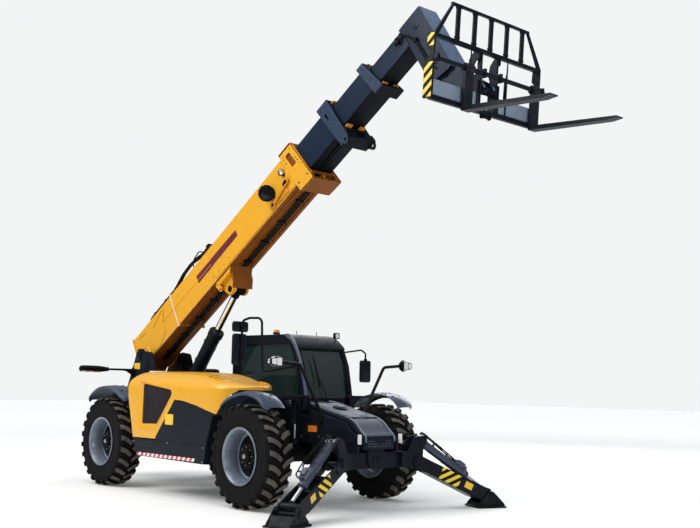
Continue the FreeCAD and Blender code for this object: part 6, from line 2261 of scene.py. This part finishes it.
def axle_extra(m):
    for ax in (0.0, 3400.0):
        for s in (1, -1):
            m.tf = RA @ Matrix.Translation((ax, 0, TYRE_R)) @ Matrix.Diagonal((1, s, 1, 1))
            m.lathe([(168, 84), (168, 132), (180, 136), (196, 132), (204, 100), (204, 84)], (0, 0, 0), (0, 1, 0), 36)
            for k in range(12):
                a = k * math.tau / 12
                m.bolt((118 * math.cos(a), 196, 118 * math.sin(a)), (0, 1, 0), 9, None, washer=False)
            m.lathe([(560, 84), (560, 104), (580, 108), (604, 104), (604, 84)], (0, 0, 0), (0, 1, 0), 36)
            m.tube([(30, 190, 112), (36, 300, 92), (30, 600, 94)], 7, 8, bend=40)
        m.tf = RA @ Matrix.Translation((ax, 0, TYRE_R))
        sg = 1 if ax else -1
        m.lathe([(150, 70), (176, 72), (182, 60), (186, 0)], (0, 0, 0), (-sg, 0, 0), 28)
        m.cyl((0, 0, -166), (0, 0, -176), 18, 6)


keep("axle_housings", [CAST], "chassis", bevel=6, bseg=3, extra=axle_extra)


def tank_extra(m):
    # straps, filler neck with its cap, grip studs on the treads, screws
    for x in (1160, 2480):
        m.prism(fillet([(x, 478), (x + 46, 478), (x + 46, 714), (x, 714)], 6, 3), 1150, 1155)
        m.bolt((x + 23, 1154, 640), (0, 1, 0), 12)
        m.bolt((x + 23, 1154, 540), (0, 1, 0), 12)
    m.lathe([(0, 44), (10, 44), (14, 38), (26, 38), (26, 46), (44, 46), (48, 40), (48, 0)], (1330, 1150, 640), (0, 0.85, 0.5), 28)
    for z in (492, 602):
        for i in range(22):
            for j in range(4):
                m.lathe([(0, 11), (3, 9), (3, 5), (1, 4)], (1586 + 38.5 * i, 1022 + 44 * j, z), (0, 0, 1), 10)
    m.prism(fillet([(1660, 520), (2340, 520), (2340, 580), (1660, 580)], 12, 4), 1001, 1004)
    for x in (1040, 1540, 2450, 2530):
        m.bolt((x, 1150, 696), (0, 1, 0), 8)


keep("side_tank", [DARK_LOW], "chassis", bevel=7, bseg=3, extra=tank_extra)


# ---------------------------------------------------------------- camera, light and floor
def setup():
    bpy.context.scene.view_settings.view_transform = "Standard"
    cam = bpy.data.objects.new("camera", bpy.data.cameras.new("camera"))
    bpy.context.scene.collection.objects.link(cam)
    cam.data.sensor_width = 36.0
    cam.data.lens = 50.91
    cam.data.clip_end = 200
    yaw, pitch, roll = 2.414, 0.122, 0.018
    fwd = Vector((math.cos(yaw) * math.cos(pitch), math.sin(yaw) * math.cos(pitch), math.sin(pitch)))
    right = Vector((math.sin(yaw), -math.cos(yaw), 0))
    up = right.cross(fwd)
    rr = right * math.cos(roll) + up * math.sin(roll)
    uu = up * math.cos(roll) - right * math.sin(roll)
    m = Matrix((rr, uu, -fwd)).transposed().to_4x4()
    m.translation = Vector((10.164, -8.161, 1.476))
    cam.matrix_world = m
    bpy.context.scene.camera = cam

    def lamp(name, at, aim, size, power, col=(1, 1, 1)):
        d = bpy.data.lights.new(name, "AREA")
        d.shape = "RECTANGLE"
        d.size, d.size_y = size
        d.energy = power
        d.color = col
        o = bpy.data.objects.new(name, d)
        bpy.context.scene.collection.objects.link(o)
        o.location = at
        o.rotation_euler = (Vector(aim) - Vector(at)).to_track_quat("-Z", "Y").to_euler()

    lamp("key", (-3.0, -11.0, 11.0), (0, 0, 2.0), (9, 6), 1150, (1.0, 0.985, 0.96))
    lamp("top", (1.0, 1.0, 15.0), (0, 0, 0), (14, 10), 300)
    sun = bpy.data.lights.new("sky_soft", "SUN")
    sun.energy = 1.35
    sun.angle = 1.0
    so = bpy.data.objects.new("sky_soft", sun)
    bpy.context.scene.collection.objects.link(so)
    so.rotation_euler = (0.35, -0.30, 0.0)
    lamp("front", (13.0, -3.0, 7.0), (1, 0, 1.5), (7, 5), 420, (0.95, 0.98, 1.0))
    lamp("back", (-6.0, 11.0, 8.0), (0, 0, 2.5), (10, 5), 650, (0.96, 0.98, 1.0))

    w = bpy.data.worlds.new("studio")
    bpy.context.scene.world = w
    w.use_nodes = True
    nt = w.node_tree
    bg = nt.nodes["Background"]
    co = nt.nodes.new("ShaderNodeTexCoord")
    sep = nt.nodes.new("ShaderNodeSeparateXYZ")
    nt.links.new(co.outputs["Generated"], sep.inputs["Vector"])
    rp = nt.nodes.new("ShaderNodeValToRGB")
    rp.color_ramp.elements[0].position = 0.0
    rp.color_ramp.elements[0].color = (0.36, 0.37, 0.39, 1)
    rp.color_ramp.elements[1].position = 0.5
    rp.color_ramp.elements[1].color = (0.86, 0.88, 0.91, 1)
    nt.links.new(sep.outputs["Z"], rp.inputs["Fac"])
    nt.links.new(rp.outputs["Color"], bg.inputs["Color"])
    bg.inputs["Strength"].default_value = 0.42
    pale = nt.nodes.new("ShaderNodeBackground")
    pale.inputs["Color"].default_value = (0.90, 0.905, 0.91, 1)
    pale.inputs["Strength"].default_value = 1.0
    lp = nt.nodes.new("ShaderNodeLightPath")
    mx = nt.nodes.new("ShaderNodeMixShader")
    nt.links.new(lp.outputs["Is Camera Ray"], mx.inputs[0])
    nt.links.new(bg.outputs[0], mx.inputs[1])
    nt.links.new(pale.outputs[0], mx.inputs[2])
    nt.links.new(mx.outputs[0], nt.nodes["World Output"].inputs["Surface"])

    me = bpy.data.meshes.new("floor")
    bm = bmesh.new()
    bmesh.ops.create_grid(bm, x_segments=1, y_segments=1, size=60)
    bm.to_mesh(me)
    bm.free()
    fl = bpy.data.objects.new("floor", me)
    bpy.context.scene.collection.objects.link(fl)
    mt, nt, bsdf = nodes_of("floor_pale")
    co = nt.nodes.new("ShaderNodeTexCoord")
    n = noise(nt, co, 0.7, 4.0)
    f = ramp(nt, n, "Fac", 0.3, 0.7, 0, 1)
    c = mixed(nt, f.outputs[0], (0.76, 0.76, 0.755), (0.80, 0.80, 0.80))
    nt.links.new(c.outputs[2], bsdf.inputs["Base Color"])
    bsdf.inputs["Roughness"].default_value = 0.85
    bsdf.inputs["Specular IOR Level"].default_value = 0.1
    bsdf.inputs["Emission Color"].default_value = (0.92, 0.925, 0.93, 1)
    # the far floor fades into the pale backdrop
    ln = nt.nodes.new("ShaderNodeVectorMath")
    ln.operation = "LENGTH"
    nt.links.new(co.outputs["Object"], ln.inputs[0])
    far = nt.nodes.new("ShaderNodeMapRange")
    far.inputs["From Min"].default_value = 7.0
    far.inputs["From Max"].default_value = 24.0
    far.inputs["To Min"].default_value = 0.0
    far.inputs["To Max"].default_value = 0.34
    nt.links.new(ln.outputs["Value"], far.inputs["Value"])
    seen = nt.nodes.new("ShaderNodeLightPath")
    em = nt.nodes.new("ShaderNodeMath")
    em.operation = "MULTIPLY_ADD"
    nt.links.new(far.outputs["Result"], em.inputs[0])
    nt.links.new(seen.outputs["Is Camera Ray"], em.inputs[1])
    em.inputs[2].default_value = 0.10
    nt.links.new(em.outputs[0], bsdf.inputs["Emission Strength"])
    me.materials.append(mt)


setup()
